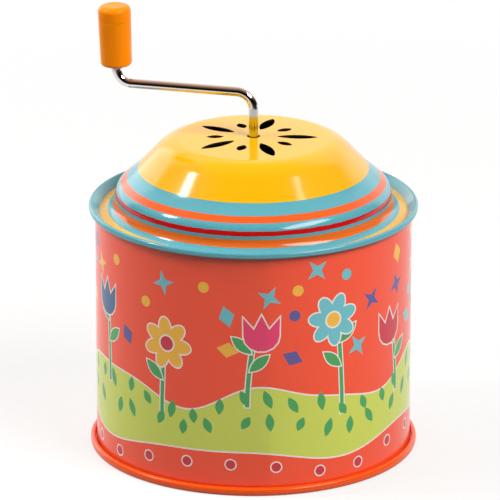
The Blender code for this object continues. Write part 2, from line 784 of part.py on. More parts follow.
def make_foot_bush(mat):
    """The blind bush under the shaft, which carries the crank's weight."""
    outline = [
        (SHAFT_SEAT_R, PLATE_TOP + GAP + FLANGE_T),
        (bush_r(WIRE_R) + BUSH_FLANGE, PLATE_TOP + GAP + FLANGE_T),
        (bush_r(WIRE_R) + BUSH_FLANGE, PLATE_TOP + GAP),
        (bush_r(WIRE_R), PLATE_TOP + GAP),
        (bush_r(WIRE_R), PLATE_Z),
        (0.0, PLATE_Z),
    ]
    outline = [(0.0, PLATE_Z + FOOT_FLOOR), (SHAFT_SEAT_R, PLATE_Z + FOOT_FLOOR), *outline]
    return baked(turned("foot_bush", outline, mat, on_axis=True))


def bridge_screw_holes(bm):
    """Holes through the bridge, down into its pillars."""
    pillars = [(PILLAR_X, y) for y in (-PILLAR_Y, PILLAR_Y)]
    small_screw_holes(bm, pillars, BRIDGE_Z - SMALL_SCREW_GRIP - 2 * GAP, BRIDGE_Z + 2 * BRIDGE_T)


def plate_outline():
    x0 = PILLAR_X - PILLAR_R - PLATE_MARGIN
    x1 = RIGHT_CHEEK_X + CHEEK_T + PLATE_MARGIN
    corners = rectangle(x0, x1, COMB_END_Y - PLATE_MARGIN, DRUM_Y + BARREL_R + PLATE_MARGIN)
    return looped([(x, y, PLATE_CORNER_R) for x, y in corners])


def plate_parts(bm):
    """What stands on the bedplate: two cheeks, the comb's seat and the bridge's two pillars."""
    sunk = PLATE_TOP - PLATE_T / 2
    for x0 in (LEFT_CHEEK_X, RIGHT_CHEEK_X):
        sides = rectangle(x0, x0 + CHEEK_T, DRUM_Y - CHEEK_HALF_WIDTH, DRUM_Y + CHEEK_HALF_WIDTH)
        prism(bm, sides, sunk, DRUM_Z + CHEEK_CROWN)
    prism(bm, rectangle(COMB_X0, COMB_X1, COMB_END_Y, COMB_END_Y + CLAMP_WIDTH), sunk, SEAT_TOP)
    for y in (-PILLAR_Y, PILLAR_Y):
        prism(bm, circle(PILLAR_R, PART_SEGMENTS, PILLAR_X, y), sunk, BRIDGE_Z - GAP)


def plate_holes(bm):
    for x, y in POST_PLACES.values():
        prism(bm, circle(SCREW_R + GAP, SMALL_SEGMENTS, x, y), PLATE_Z - PLATE_T, PLATE_TOP + PLATE_T)
    prism(bm, circle(bush_r(WIRE_R) + GAP, PART_SEGMENTS), PLATE_Z - PLATE_T, PLATE_TOP + PLATE_T)
    comb_screw_holes(bm)
    bridge_screw_holes(bm)
    along = Matrix.Rotation(pi / 2, 3, "Y")
    bore = circle(bush_r(ARBOR_R) + GAP, PART_SEGMENTS)
    for x0 in (LEFT_CHEEK_X, RIGHT_CHEEK_X):
        rings = []
        for x in (x0 - CHEEK_T, x0 + 2 * CHEEK_T):
            rings.append([along @ Vector((u, v, x)) + Vector((0, DRUM_Y, DRUM_Z)) for u, v in bore])
        loft(bm, rings)


def make_bedplate(mat):
    """The cast frame that carries the whole movement."""
    bedplate = flat_piece("bedplate", plate_outline(), PLATE_Z, PLATE_T, mat)
    combine(bedplate, "UNION", plate_parts)
    return baked(combine(bedplate, "DIFFERENCE", plate_holes))


def make_bridge(mat):
    """The strap over the worm: two screws on its wide root, and the upper bush in its tongue."""
    tongue_steps = PART_SEGMENTS // 2
    tips = [pi / 2 - pi * i / tongue_steps for i in range(tongue_steps + 1)]
    root = PILLAR_X - PILLAR_R - GAP
    outline = [(root, BRIDGE_HALF_WIDTH), (BRIDGE_ROOT_X, BRIDGE_HALF_WIDTH), (BRIDGE_ROOT_X, TONGUE_R)]
    outline += [(TONGUE_R * cos(a), TONGUE_R * sin(a)) for a in tips]
    outline += [(BRIDGE_ROOT_X, -TONGUE_R), (BRIDGE_ROOT_X, -BRIDGE_HALF_WIDTH), (root, -BRIDGE_HALF_WIDTH)]

    def holes(bm):
        bridge_screw_holes(bm)
        prism(bm, circle(bush_r(WIRE_R) + GAP, PART_SEGMENTS), BRIDGE_FLANGE_Z, BRIDGE_Z + 2 * BRIDGE_T)

    bridge = chamfered(flat_piece("bridge", outline, BRIDGE_Z, BRIDGE_T, mat), BRIDGE_T / 6)
    return baked(combine(bridge, "DIFFERENCE", holes))


def screw_mesh(name, shank_r, head_r, head_h, length):
    """A cheese-head screw, pointing down from z = 0 at the head's underside, with a driver slot."""
    nose = shank_r / 3
    outline = [(0, head_h), (head_r - nose, head_h), (head_r, head_h - nose), (head_r, 0.0)]
    outline += [(shank_r, 0.0), (shank_r, -length + nose), (shank_r - nose, -length), (0, -length)]
    screw = turned(name, outline, None, SMALL_SEGMENTS, on_axis=True)
    half = head_r * SLOT_SHARE / 2
    bar = rectangle(-2 * head_r, 2 * head_r, -half, half)
    combine(screw, "DIFFERENCE", lambda bm: prism(bm, bar, head_h / 2, 2 * head_h))
    mesh = baked(screw).data
    bpy.data.objects.remove(screw)
    return mesh


def make_screws(mat):
    flip = (pi, 0, 0)
    base_length = TIN + 2 * GAP + SCREW_GRIP
    plate_length = PLATE_T + 2 * GAP + SCREW_GRIP
    base = screw_mesh("base_screw", SCREW_R, SCREW_HEAD_R, SCREW_HEAD_H, base_length)
    plate = screw_mesh("plate_screw", SCREW_R, SCREW_HEAD_R, SCREW_HEAD_H, plate_length)
    for mesh in (base, plate):
        mesh.materials.append(mat)
    for place, (x, y) in POST_PLACES.items():
        linked(f"base_screw_{place}", base, None, location=(x, y, PAN_RECESS - GAP), rotation=flip)
        linked(f"plate_screw_{place}", plate, None, location=(x, y, PLATE_TOP + GAP))
    small = (SMALL_SCREW_R, SMALL_HEAD_R, SMALL_HEAD_H)
    comb = screw_mesh("comb_screw", *small, CLAMP_T + COMB_T + 3 * GAP + SMALL_SCREW_GRIP)
    bridge = screw_mesh("bridge_screw", *small, BRIDGE_T + 2 * GAP + SMALL_SCREW_GRIP)
    for mesh in (comb, bridge):
        mesh.materials.append(mat)
    comb_z = COMB_Z + COMB_T + CLAMP_T + 2 * GAP
    for side, (x, y) in zip(("left", "middle", "right"), comb_screw_places()):
        linked(f"comb_screw_{side}", comb, None, location=(x, y, comb_z))
    for side, y in (("front", -PILLAR_Y), ("rear", PILLAR_Y)):
        linked(f"bridge_screw_{side}", bridge, None, location=(PILLAR_X, y, BRIDGE_Z + BRIDGE_T + GAP))


def make_posts(mat):
    """Hexagonal spacers between the base and the bedplate, bored through for both screws."""
    hexagon = circle(POST_FLATS / 2 / cos(pi / 6), 6)
    bore = circle(SCREW_R + GAP, SMALL_SEGMENTS)
    for place, (x, y) in POST_PLACES.items():
        post = flat_piece(f"post_{place}", hexagon, 0, POST_LENGTH, mat, location=(x, y, POST_Z))
        baked(combine(post, "DIFFERENCE", lambda bm: prism(bm, bore, -POST_LENGTH, 2 * POST_LENGTH)))


def make_grub_screw(mat, axis):
    side = Matrix.Rotation(pi / 2, 3, "Y")
    lift = Vector((0, 0, WORM_FOOT - WORM_HUB_H / 2))

    def build(bm):
        section = circle(GRUB_R, SMALL_SEGMENTS)
        spans = (WIRE_R + GAP, WORM_HUB_R + GAP / 2)
        loft(bm, [[side @ Vector((x, y, z)) + lift for x, y in section] for z in spans])

    return linked("worm_screw", mesh_of("worm_screw", build), mat, parent=axis)


def make_washer(mat, axis):
    inner = WIRE_R + GAP
    outer = WORM_HUB_R
    top = WASHER_Z + WASHER_T
    outline = [(inner, top), (outer, top), (outer, WASHER_Z), (inner, WASHER_Z)]
    return baked(turned("thrust_washer", outline, mat, parent=axis))


def remove_helpers():
    for obj in list(bpy.data.objects):
        if obj.hide_render:
            bpy.data.objects.remove(obj, do_unlink=True)


def main():
    clear_scene()
    lid_tin = material("lid_tin", (0.93, 0.50, 0.02), 0.18)
    body_tin = material("body_tin", (0.80, 0.11, 0.05), 0.30)
    base_tin = material("base_tin", (0.86, 0.12, 0.02), 0.22)
    chrome = material("chrome", (0.75, 0.74, 0.72), 0.10, 1.0)
    knob_plastic = material("knob_plastic", (1.0, 0.23, 0.0), 0.22)
    brass = material("brass", (0.80, 0.58, 0.27), 0.28, 1.0)
    steel = material("steel", (0.56, 0.57, 0.58), 0.30, 1.0)
    comb_steel = material("comb_steel", (0.62, 0.62, 0.60), 0.24, 1.0)
    casting = material("casting", (0.48, 0.48, 0.47), 0.48, 1.0)
    nylon = material("nylon", (0.85, 0.84, 0.78), 0.45)

    crank_axis = pivot("crank_axis")
    knob_axis = pivot("knob_axis", KNOB_FOOT, -STUB_LEAN)
    knob_axis.parent = crank_axis
    drum_axis = pivot("drum_axis", (0, DRUM_Y, DRUM_Z))

    make_lid(lid_tin)
    make_body_wall(body_tin)
    make_base_pan(base_tin)
    make_crank_rod(chrome, crank_axis)
    make_knob(knob_plastic, knob_axis)
    make_cap(knob_plastic, knob_axis)
    make_retainer(steel, crank_axis)
    make_worm(brass, crank_axis)
    make_grub_screw(steel, crank_axis)
    make_washer(nylon, crank_axis)
    make_worm_wheel(nylon, drum_axis)
    make_cylinder(brass, drum_axis)
    make_arbor(steel, drum_axis)
    make_comb(comb_steel)
    make_clamp(steel)
    make_bedplate(casting)
    make_bridge(steel)
    make_bush("bridge_bush", brass, WIRE_R, BRIDGE_T, location=(0, 0, BRIDGE_Z - GAP), rotation=(pi, 0, 0))
    make_foot_bush(brass)
    left = (LEFT_CHEEK_X + CHEEK_T + GAP, DRUM_Y, DRUM_Z)
    right = (RIGHT_CHEEK_X - GAP, DRUM_Y, DRUM_Z)
    make_bush("arbor_bush_left", brass, ARBOR_R, CHEEK_T, location=left, rotation=(0, pi / 2, 0))
    make_bush("arbor_bush_right", brass, ARBOR_R, CHEEK_T, location=right, rotation=(0, -pi / 2, 0))
    make_posts(brass)
    make_screws(steel)
    remove_helpers()


main()
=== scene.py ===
"""Studio view of a hand-cranked tin music box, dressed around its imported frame."""
import json
import random
from bisect import bisect_right
from math import atan2, cos, hypot, pi, radians, sin, tan

import bpy
from mathutils import Matrix, Vector
from mathutils.geometry import delaunay_2d_cdt


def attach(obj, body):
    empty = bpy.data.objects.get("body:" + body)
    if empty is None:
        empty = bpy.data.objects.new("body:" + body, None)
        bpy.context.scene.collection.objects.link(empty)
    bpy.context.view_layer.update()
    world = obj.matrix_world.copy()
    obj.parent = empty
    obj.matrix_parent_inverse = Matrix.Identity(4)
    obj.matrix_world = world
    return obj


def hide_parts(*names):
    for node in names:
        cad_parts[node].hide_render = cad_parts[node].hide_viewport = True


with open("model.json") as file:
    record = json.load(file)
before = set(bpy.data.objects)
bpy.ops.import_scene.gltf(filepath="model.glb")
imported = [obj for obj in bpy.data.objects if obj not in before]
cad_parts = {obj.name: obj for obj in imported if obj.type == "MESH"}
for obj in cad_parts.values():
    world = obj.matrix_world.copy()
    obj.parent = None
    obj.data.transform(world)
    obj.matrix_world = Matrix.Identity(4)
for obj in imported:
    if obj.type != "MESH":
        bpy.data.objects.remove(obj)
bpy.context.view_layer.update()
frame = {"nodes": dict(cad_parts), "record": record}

# Scales: a millimetre in metres, millimetres to a unit of the print map, and how near corners are shared
MM = 0.001
PRINT_UNIT = 100
WELDS_PER_MM = 4000
SHORTEST = 1e-6

# Can, as in the frame, in millimetres
TIN = 0.35
BODY_R = 37.5
BODY_IN_R = BODY_R - TIN
RIM_R = 39.0
CAN_HEIGHT = 60.0
BEAD_BEND_R = 0.5
LID_SEAM_Z = 58.5
SPIGOT_R = 36.85
BASE_BEAD_H = 2.0
PAN_RECESS = 2.9
PAN_WALL_SLANT = 1.2
PAN_FLOOR_R = 30.0
SEAM_HALF = 2.0
SEAM_PROUD = 0.25
SEAM_ANGLE = radians(100)
SEAM_RAMPS = (0.04, 0.9)
FLANGE_STEP = 0.3
POSTS = ((-10.8, -15.0), (-10.8, 14.0), (23.8, -4.0))
POST_HOLE_R = 1.35
CLEAR_OF_POSTS = 2.4
PAN_RINGS = ((6, 24), (12, 44), (18, 64), (24, 90))
HAIRLINE = 0.03

# Lid pressing: a nearly flat crown, then the upper side's corners as (radius, height, bend)
CROWN_Z = 76.12
CROWN_SLOPE = radians(1.25)
BROW_R = 6.3
BROW_SLOPE = radians(19)
FLANK = (
    (21.49, 74.61, 9.6),
    (28.0, 67.63, 18.0),
    (32.7, 63.76, 4.0),
    (32.7, 59.0, 2.8),
    (36.4, 58.05, 0.4),
    (38.2, 60.0, 0.35),
)
RIM_BEND_R = 0.7
HOLE_R = 1.55
PATCH_R = 15.38
PATCH_RINGS = ((3.0, 40), (4.6, 48), (12.6, 90), (14.2, 110), (15.0, 128))
CLEAR_OF_HOLES = 0.35

# Sound slots, long and short by turns, as (start, end, width)
SLOTS = ((5.6, 15.15, 2.9), (7.0, 11.1, 2.3))
SLOT_COUNT = 10
SLOT_TURN = radians(10)
SLOT_FULLNESS = 0.68

# Base rim: the groove beside the wall, then the bends of its corners
GROOVE_FOOT = 0.9
GROOVE_WIDTH = 0.3
GROOVE_BEND_R = 0.4
BASE_BEND_R = 0.75
PAN_BEND_R = 0.45

# Crank and knob
WIRE_R = 1.15
WIRE_CHAMFER = 0.25
WIRE_PLAY = 0.2
ROD_FOOT_Z = 13.85
ARM_Z = 86.75
ARM_TILT = radians(1.6)
ARM_BENDS = (4.1, 3.7)
THROW = 32.7
STUB_LEAN = radians(1.75)
KNOB_FOOT = Vector((-32.81573, 0.0, 91.45138))
KNOB_LENGTH = 15.1
KNOB_TOP_R = 3.92
KNOB_FOOT_R = 3.7
CAP_LENGTH = 3.7
KNOB_WALL = 1.2
BORE_DEPTH = 8.5
PLUG_LENGTH = 1.0
PLUG_PLAY = 0.1
SPLIT = 0.01
SPLIT_CHAMFER = 0.08
DIMPLE = 0.06
STUB_END = 10.0

# Smoothness of the turned pieces
CAN_SEGMENTS = 256
SMALL_SEGMENTS = 64
WIRE_SEGMENTS = 40
SHEET_STEP = 1.5
WIRE_STEP = 3.0
KNOB_STEP = 1.2
BEND_STEP = radians(6)
WIRE_BEND_STEP = radians(5)

# Camera, measured from the photograph
VIEW_TURN = radians(10)
VIEW_YAW = radians(0.038)
VIEW_PITCH = radians(18.73)
VIEW_DISTANCE = 1.2384
VIEW_HEIGHT = 0.4676
VIEW_LENS = 396.46

# Lamps, as (name, azimuth, elevation, width, height, radiance, roll, shape, whether reflections show it)
LAMPS = (
    ("left_softbox", -90, 43, 0.15, 0.2, 30.0, 28, "ELLIPSE", True),
    ("right_softbox", 50, 40, 0.74, 0.3, 10.5, 24, "ELLIPSE", True),
    ("right_fill", 50, 40, 0.74, 0.3, 5.8, 24, "ELLIPSE", False),
    ("right_spill", 67, 56, 0.13, 0.04, 11.0, 0, "ELLIPSE", True),
    ("left_fill", -92, 36, 0.9, 0.7, 2.9, 0, "RECTANGLE", False),
)
LAMP_DISTANCE = 0.9
LAMP_TARGET = Vector((0.0, 0.0, 0.05))
DUSK = (1.0, 0.6, 0.42, 1.0)

# Table: its radii in millimetres, its two greys, the grey that the camera doesn't see, and its own light
TABLE_RADII = (0.0, 60.0, 120.0, 240.0, 480.0, 960.0, 2400.0)
TABLE_SEGMENTS = 96
TABLE_GREYS = (0.24, 0.23)
TABLE_BOUNCE = 0.21
TABLE_GLOW = 0.7


def tint(red, green, blue):
    """A colour given as 0-255 screen values, in the linear numbers that shaders take."""
    linear = [c / 255 / 12.92 if c / 255 <= 0.04045 else ((c / 255 + 0.055) / 1.055) ** 2.4
              for c in (red, green, blue)]
    return (*linear, 1.0)


def grey(level):
    return (level, level, level, 1.0)


INKS = {
    "yellow": (0.81, 0.432, 0.0, 1.0),
    "teal": (0.095, 0.385, 0.455, 1.0),
    "orange": (0.82, 0.11, 0.014, 1.0),
    "amber": (0.76, 0.148, 0.017, 1.0),
    "red": (0.56, 0.008, 0.008, 1.0),
    "ground": (0.94, 0.084, 0.027, 1.0),
    "lime": (0.61, 0.69, 0.102, 1.0),
    "leaf": (0.06, 0.37, 0.1, 1.0),
    "white": tint(240, 232, 226),
    "sky": tint(110, 192, 200),
    "violet": tint(92, 86, 152),
    "gold": tint(246, 186, 62),
    "magenta": tint(236, 60, 110),
    "navy": tint(38, 92, 136),
    "crimson": tint(206, 46, 62),
}


# Materials


class Nodes:
    """Short calls for the shader nodes of one tree."""

    def __init__(self, tree):
        self.tree = tree

    def node(self, kind, **settings):
        made = self.tree.nodes.new("ShaderNode" + kind)
        for key, value in settings.items():
            setattr(made, key, value)
        return made

    def link(self, value, socket):
        if isinstance(value, bpy.types.NodeSocket):
            self.tree.links.new(value, socket)
        else:
            socket.default_value = value

    def math(self, operation, *values):
        made = self.node("Math", operation=operation)
        for value, socket in zip(values, made.inputs):
            self.link(value, socket)
        return made.outputs[0]

    def times(self, first, second):
        return self.math("MULTIPLY", first, second)

    def span(self, value, low, high, new_low, new_high, easing="LINEAR"):
        made = self.node("MapRange", interpolation_type=easing)
        self.link(value, made.inputs["Value"])
        keys = ("From Min", "From Max", "To Min", "To Max")
        for key, number in zip(keys, (low, high, new_low, new_high)):
            made.inputs[key].default_value = number
        return made.outputs["Result"]

    def axes(self, vector):
        made = self.node("SeparateXYZ")
        self.link(vector, made.inputs[0])
        return made.outputs

    def along(self, axes, azimuth):
        """How far a place or direction reaches towards an azimuth."""
        way = towards(azimuth, 0.0, 1.0)
        return self.math("ADD", self.times(axes[0], way.x), self.times(axes[1], way.y))


class Paint(Nodes):
    """A node-based material."""

    def __init__(self, name, **sockets):
        self.material = bpy.data.materials.new(name)
        self.material.use_nodes = True
        super().__init__(self.material.node_tree)
        self.shader = self.tree.nodes["Principled BSDF"]
        self.set(**sockets)

    def place(self):
        """Where a point is on the object, in metres, the same in every view."""
        return self.node("TexCoord").outputs["Object"]

    def scaled(self, vector, scale):
        made = self.node("Mapping")
        self.link(vector, made.inputs["Vector"])
        made.inputs["Scale"].default_value = scale
        return made.outputs["Vector"]

    def noise(self, vector, scale, detail=3.0, roughness=0.55):
        made = self.node("TexNoise")
        self.link(vector, made.inputs["Vector"])
        made.inputs["Scale"].default_value = scale
        made.inputs["Detail"].default_value = detail
        made.inputs["Roughness"].default_value = roughness
        return made.outputs["Fac"]

    def mix(self, factor, first, second, blend="MIX"):
        made = self.node("Mix", data_type="RGBA", blend_type=blend)
        for value, socket in ((factor, 0), (first, 6), (second, 7)):
            self.link(value, made.inputs[socket])
        return made.outputs[2]

    def bump(self, height, distance, normal=None):
        made = self.node("Bump")
        self.link(height, made.inputs["Height"])
        made.inputs["Distance"].default_value = distance
        if normal:
            self.link(normal, made.inputs["Normal"])
        return made.outputs["Normal"]

    def set(self, **sockets):
        for socket, value in sockets.items():
            self.link(value, self.shader.inputs[socket.replace("_", " ")])
        return self.material


def shade(colour, factor):
    return tuple(min(c * factor, 1.0) for c in colour[:3]) + (1.0,)


def enamel(name, colour, gloss, ripple=0.0, shine=0.5):
    """Varnished ink on tinplate: faint mottling and grain, and a varnish that isn't quite level."""
    paint = Paint(name)
    place = paint.place()
    cloud = paint.noise(place, 60.0, 2.0)
    grain = paint.noise(place, 2600.0, 2.0, 0.7)
    base = colour(paint) if callable(colour) else colour
    toned = paint.mix(paint.span(cloud, 0.35, 0.65, 0.0, 0.06), base, grey(1.0), "SOFT_LIGHT")
    speckled = paint.mix(paint.span(grain, 0.3, 0.8, 0.0, 0.16), toned, grey(0.0), "SOFT_LIGHT")
    rough = paint.span(paint.noise(place, 420.0, 3.0), 0.3, 0.7, gloss * 0.85, gloss * 1.2)
    level = paint.bump(paint.noise(place, 900.0, 2.0), 0.004 * MM)
    if ripple:
        level = paint.bump(paint.noise(place, 170.0, 1.0), ripple * MM, normal=level)
    return paint.set(Base_Color=speckled, Roughness=rough, Normal=level, Specular_IOR_Level=shine)


def plated(name, colour, roughness, scratch=0.35, grain=(1.0, 1.0, 12.0)):
    """Bright metal with fine drawn scratches and a slightly uneven polish."""
    paint = Paint(name, Metallic=1.0)
    place = paint.place()
    drawn = paint.noise(paint.scaled(place, grain), 1400.0, 4.0, 0.7)
    blotch = paint.noise(place, 120.0, 2.0)
    toned = paint.mix(paint.span(blotch, 0.35, 0.7, 0.0, 0.35), colour, shade(colour, 0.86))
    worn = paint.times(paint.span(drawn, 0.5, 0.75, 0.0, scratch), roughness * 2)
    rough = paint.math("ADD", paint.span(blotch, 0.3, 0.7, roughness * 0.8, roughness * 1.25), worn)
    level = paint.bump(drawn, 0.0015 * MM)
    return paint.set(Base_Color=toned, Roughness=rough, Normal=level)


def moulded(name, colour, roughness, milky, shine=0.5):
    """Moulded plastic: a fine satin skin, a trace of flow marks and a little light inside."""
    paint = Paint(name, Subsurface_Weight=milky, Subsurface_Scale=1.6 * MM,
                  Subsurface_Radius=(1.0, 0.45, 0.15), Specular_IOR_Level=shine)
    place = paint.place()
    flow = paint.noise(paint.scaled(place, (1.0, 1.0, 0.25)), 260.0, 3.0)
    pores = paint.noise(place, 2400.0, 3.0, 0.7)
    toned = paint.mix(paint.span(flow, 0.3, 0.7, 0.0, 0.3), colour, shade(colour, 0.93))
    rough = paint.span(pores, 0.3, 0.7, roughness * 0.85, roughness * 1.2)
    level = paint.bump(flow, 0.01 * MM, normal=paint.bump(pores, 0.003 * MM))
    return paint.set(Base_Color=toned, Roughness=rough, Normal=level)


# Outlines and skins


def left_of(way):
    return Vector((-way.y, way.x))


def outline(corners, closed=False, step=BEND_STEP):
    """The run through corners (r, z, bend) as pieces (start, end, normal at start, normal at end).

    Going outwards along the top, the outside is on the left of the run.
    """
    count = len(corners)
    points = [Vector(c[:2]) for c in corners]
    arcs = []
    for i, (x, y, bend) in enumerate(corners):
        here = points[i]
        inner = closed or 0 < i < count - 1
        if not inner:
            way = (points[1] - here) if i == 0 else (here - points[i - 1])
            arcs.append([(here, left_of(way.normalized()))])
            continue
        into = (here - points[i - 1]).normalized()
        on = (points[(i + 1) % count] - here).normalized()
        turn = atan2(into.x * on.y - into.y * on.x, into.dot(on))
        if bend <= 0:
            arcs.append([(here, left_of(into)), (here, left_of(on))])
            continue
        start = here - into * (bend * tan(abs(turn) / 2))
        side = left_of(into) * (1 if turn > 0 else -1)
        centre = start + side * bend
        steps = max(2, round(abs(turn) / step))
        arc = []
        for k in range(steps + 1):
            spin = Matrix.Rotation(turn * k / steps, 2)
            arc.append((centre - spin @ (side * bend), spin @ left_of(into)))
        arcs.append(arc)
    pieces = []
    for i, arc in enumerate(arcs):
        for (p, n), (q, m) in zip(arc, arc[1:]):
            if (q - p).length > SHORTEST:
                pieces.append((p, q, n, m))
        if i + 1 < count or closed:
            p, n = arc[-1]
            q, m = arcs[(i + 1) % count][0]
            if (q - p).length > SHORTEST:
                pieces.append((p, q, n, m))
    return pieces


def cut(pieces, longest):
    """The same run, with its long straight stretches in shorter pieces."""
    done = []
    for p, q, n, m in pieces:
        parts = max(1, round((q - p).length / longest))
        for k in range(parts):
            a, b = k / parts, (k + 1) / parts
            start = p if k == 0 else p.lerp(q, a)
            end = q if k == parts - 1 else p.lerp(q, b)
            done.append((start, end, n.lerp(m, a).normalized(), n.lerp(m, b).normalized()))
    return done


class Skin:
    """Faces with the normals and print places of their corners. Corners at one place are shared."""

    def __init__(self, turn=None):
        self.turn = turn
        self.places = {}
        self.points = []
        self.faces = []
        self.normals = []
        self.prints = []
        self.inks = []

    def spot(self, point):
        key = tuple(round(c * WELDS_PER_MM) for c in point)
        if key not in self.places:
            self.places[key] = len(self.points)
            self.points.append(point)
        return self.places[key]

    def face(self, corners, ink=0):
        """One face from its corners (point in mm, normal, (u, v)), seen anticlockwise from outside."""
        spots = [self.spot(point) for point, _, _ in corners]
        kept = [k for k in range(len(spots)) if spots[k] != spots[k - 1]]
        if len(kept) < 3:
            return
        self.faces.append([spots[k] for k in kept])
        self.normals.extend(corners[k][1] for k in kept)
        self.prints.extend(corners[k][2] for k in kept)
        self.inks.append(ink)

    def revolve(self, pieces, count, run=0.0):
        """Turns a run of pieces round the Z axis. Its print starts that far along."""
        for p, q, n, m in pieces:
            end = run + (q - p).length
            for i in range(count):
                corners = []
                for (spot, normal, v), k in (((p, n, run), i), ((q, m, end), i),
                                             ((q, m, end), i + 1), ((p, n, run), i + 1)):
                    a = 2 * pi * (k % count) / count
                    corners.append((
                        (spot.x * cos(a), spot.x * sin(a), spot.y),
                        (normal.x * cos(a), normal.x * sin(a), normal.y),
                        (k / count, v / PRINT_UNIT),
                    ))
                self.face(corners)
            run = end

    def piece(self, name, inks, body, slot, *replaced):
        """The finished piece, riding on its body in place of the frame's nodes."""
        spots = [Vector(p) * MM for p in self.points]
        normals = [Vector(n).normalized() for n in self.normals]
        if self.turn:
            spots = [self.turn @ p for p in spots]
            spin = self.turn.to_3x3()
            normals = [(spin @ n).normalized() for n in normals]
        mesh = bpy.data.meshes.new(name)
        mesh.from_pydata(spots, [], self.faces)
        mesh.shade_smooth()
        layer = mesh.uv_layers.new(name="print")
        for k, place in enumerate(self.prints):
            layer.uv[k].vector = place
        for ink in inks:
            mesh.materials.append(ink)
        mesh.polygons.foreach_set("material_index", self.inks)
        mesh.normals_split_custom_set(normals)
        mesh.update()
        obj = bpy.data.objects.new(name, mesh)
        bpy.context.scene.collection.objects.link(obj)
        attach(obj, body)
        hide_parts(*replaced)


def ring(radius, count, x=0.0, y=0.0):
    turns = (2 * pi * k / count for k in range(count))
    return [(x + radius * cos(a), y + radius * sin(a)) for a in turns]


def inside(shape, x, y):
    """Whether a point is inside a closed outline."""
    within = False
    for (x0, y0), (x1, y1) in zip(shape, shape[-1:] + shape[:-1]):
        if (y0 > y) != (y1 > y) and x < (x1 - x0) * (y - y0) / (y1 - y0) + x0:
            within = not within
    return within


def triangulated(loops, lines=(), points=()):
    """Triangles of the plane that keep every closed loop and open line, and the given points exactly."""
    spots = []
    edges = []
    for shape in loops:
        first = len(spots)
        spots.extend(shape)
        edges.extend((first + k, first + (k + 1) % len(shape)) for k in range(len(shape)))
    for line in lines:
        first = len(spots)
        spots.extend(line)
        edges.extend((first + k, first + k + 1) for k in range(len(line) - 1))
    spots.extend(points)
    result = delaunay_2d_cdt([Vector(p) for p in spots], edges, [], 0, 1e-5, True)
    found = []
    for place, sources in zip(result[0], result[3]):
        found.append(spots[sources[0]] if sources else (place.x, place.y))
    return found, result[2]


def pierced(skin, rim, holes, top, under, points):
    """A sheet inside a rim with holes through it, whose cut edges take the second ink.

    top and under give a place's height, tilt and print run from its radius.
    """
    found, faces = triangulated([rim, *holes], points=points)
    used = {}
    kept = []
    for tri in faces:
        x = sum(found[k][0] for k in tri) / 3
        y = sum(found[k][1] for k in tri) / 3
        if not inside(rim, x, y) or any(inside(hole, x, y) for hole in holes):
            continue
        kept.append(tri)
        used.update(dict.fromkeys(zip(tri, tri[1:] + tri[:1])))
    for tri in kept:
        for side, order in ((top, tri), (under, tri[::-1])):
            corners = []
            for k in order:
                x, y = found[k]
                r = max(hypot(x, y), 1e-9)
                height, tilt, v = side(r)
                normal = (tilt[0] * x / r, tilt[0] * y / r, tilt[1])
                corners.append(((x, y, height), normal, (atan2(y, x) / 2 / pi + 0.5, v)))
            skin.face(corners)
    edge_of_rim = set(rim)
    for a, b in used:
        if (b, a) in used or (found[a] in edge_of_rim and found[b] in edge_of_rim):
            continue
        (x0, y0), (x1, y1) = found[a], found[b]
        long = hypot(x1 - x0, y1 - y0)
        normal = ((y1 - y0) / long, (x0 - x1) / long, 0.0)
        corners = []
        for (x, y), side in (((x0, y0), top), ((x0, y0), under), ((x1, y1), under), ((x1, y1), top)):
            height, _, v = side(hypot(x, y))
            corners.append(((x, y, height), normal, (0.0, v)))
        skin.face(corners, 1)


# Lid


def sound_slots():
    """Leaf-shaped outlines round the crank's hole."""
    shapes = []
    steps = 16
    for i in range(SLOT_COUNT):
        start, end, width = SLOTS[i % 2]
        side = []
        for k in range(steps + 1):
            share = (1 - cos(pi * k / steps)) / 2
            half = width / 2 * sin(pi * share) ** SLOT_FULLNESS if 0 < k < steps else 0.0
            side.append((start + (end - start) * share, half))
        leaf = side + [(x, -y) for x, y in side[-2:0:-1]]
        a = SLOT_TURN + 2 * pi * i / SLOT_COUNT
        shapes.append(moved(leaf, 0.0, 0.0, a))
    return shapes


def run_at(pieces, r, z):
    """How far along a run its nearest point to (r, z) is."""
    best = (1e9, 0.0)
    run = 0.0
    for p, q, _, _ in pieces:
        way = q - p
        share = max(0.0, min(1.0, (Vector((r, z)) - p).dot(way) / way.length_squared))
        best = min(best, ((p + way * share - Vector((r, z))).length, run + share * way.length))
        run += way.length
    return best[1]


# Where each of the lid's rings starts, as (radius, height) on its upper side
RING_EDGES = (
    ("yellow", None),
    ("teal", (27.1, 68.6)),
    ("orange", (29.8, 66.15)),
    ("teal", (31.2, 65.0)),
    ("red", (32.34, 63.52)),
    ("teal", (32.7, 62.38)),
    ("amber", (32.72, 61.5)),
    ("teal", (33.22, 59.6)),
    ("yellow", (34.4, 58.6)),
    ("teal", (36.3, 58.1)),
)


def ring_print(edges):
    """The lid's coloured rings, by the distance from its middle along the sheet.

    Their edges waver a little, and more where the sheet was pressed harder.
    """
    def colour(paint):
        run = paint.axes(paint.node("UVMap", uv_map="print").outputs["UV"])["Y"]
        wobble = paint.math("SUBTRACT", paint.noise(paint.place(), 520.0, 3.0, 0.7), 0.5)
        growing = paint.span(run, 0.24, 0.36, 0.0004, 0.0026)
        nudged = paint.math("ADD", run, paint.times(wobble, growing))
        ramp = paint.node("ValToRGB")
        ramp.color_ramp.interpolation = "CONSTANT"
        stops = ramp.color_ramp.elements
        for k, (ink, at) in enumerate(edges):
            stop = stops[k] if k < 2 else stops.new(at)
            stop.position = at
            stop.color = INKS[ink]
        paint.link(nudged, ramp.inputs["Fac"])
        return ramp.outputs["Color"]
    return colour


def crown(r):
    """Height of the lid's upper side near its middle."""
    return CROWN_Z - r * tan(CROWN_SLOPE)


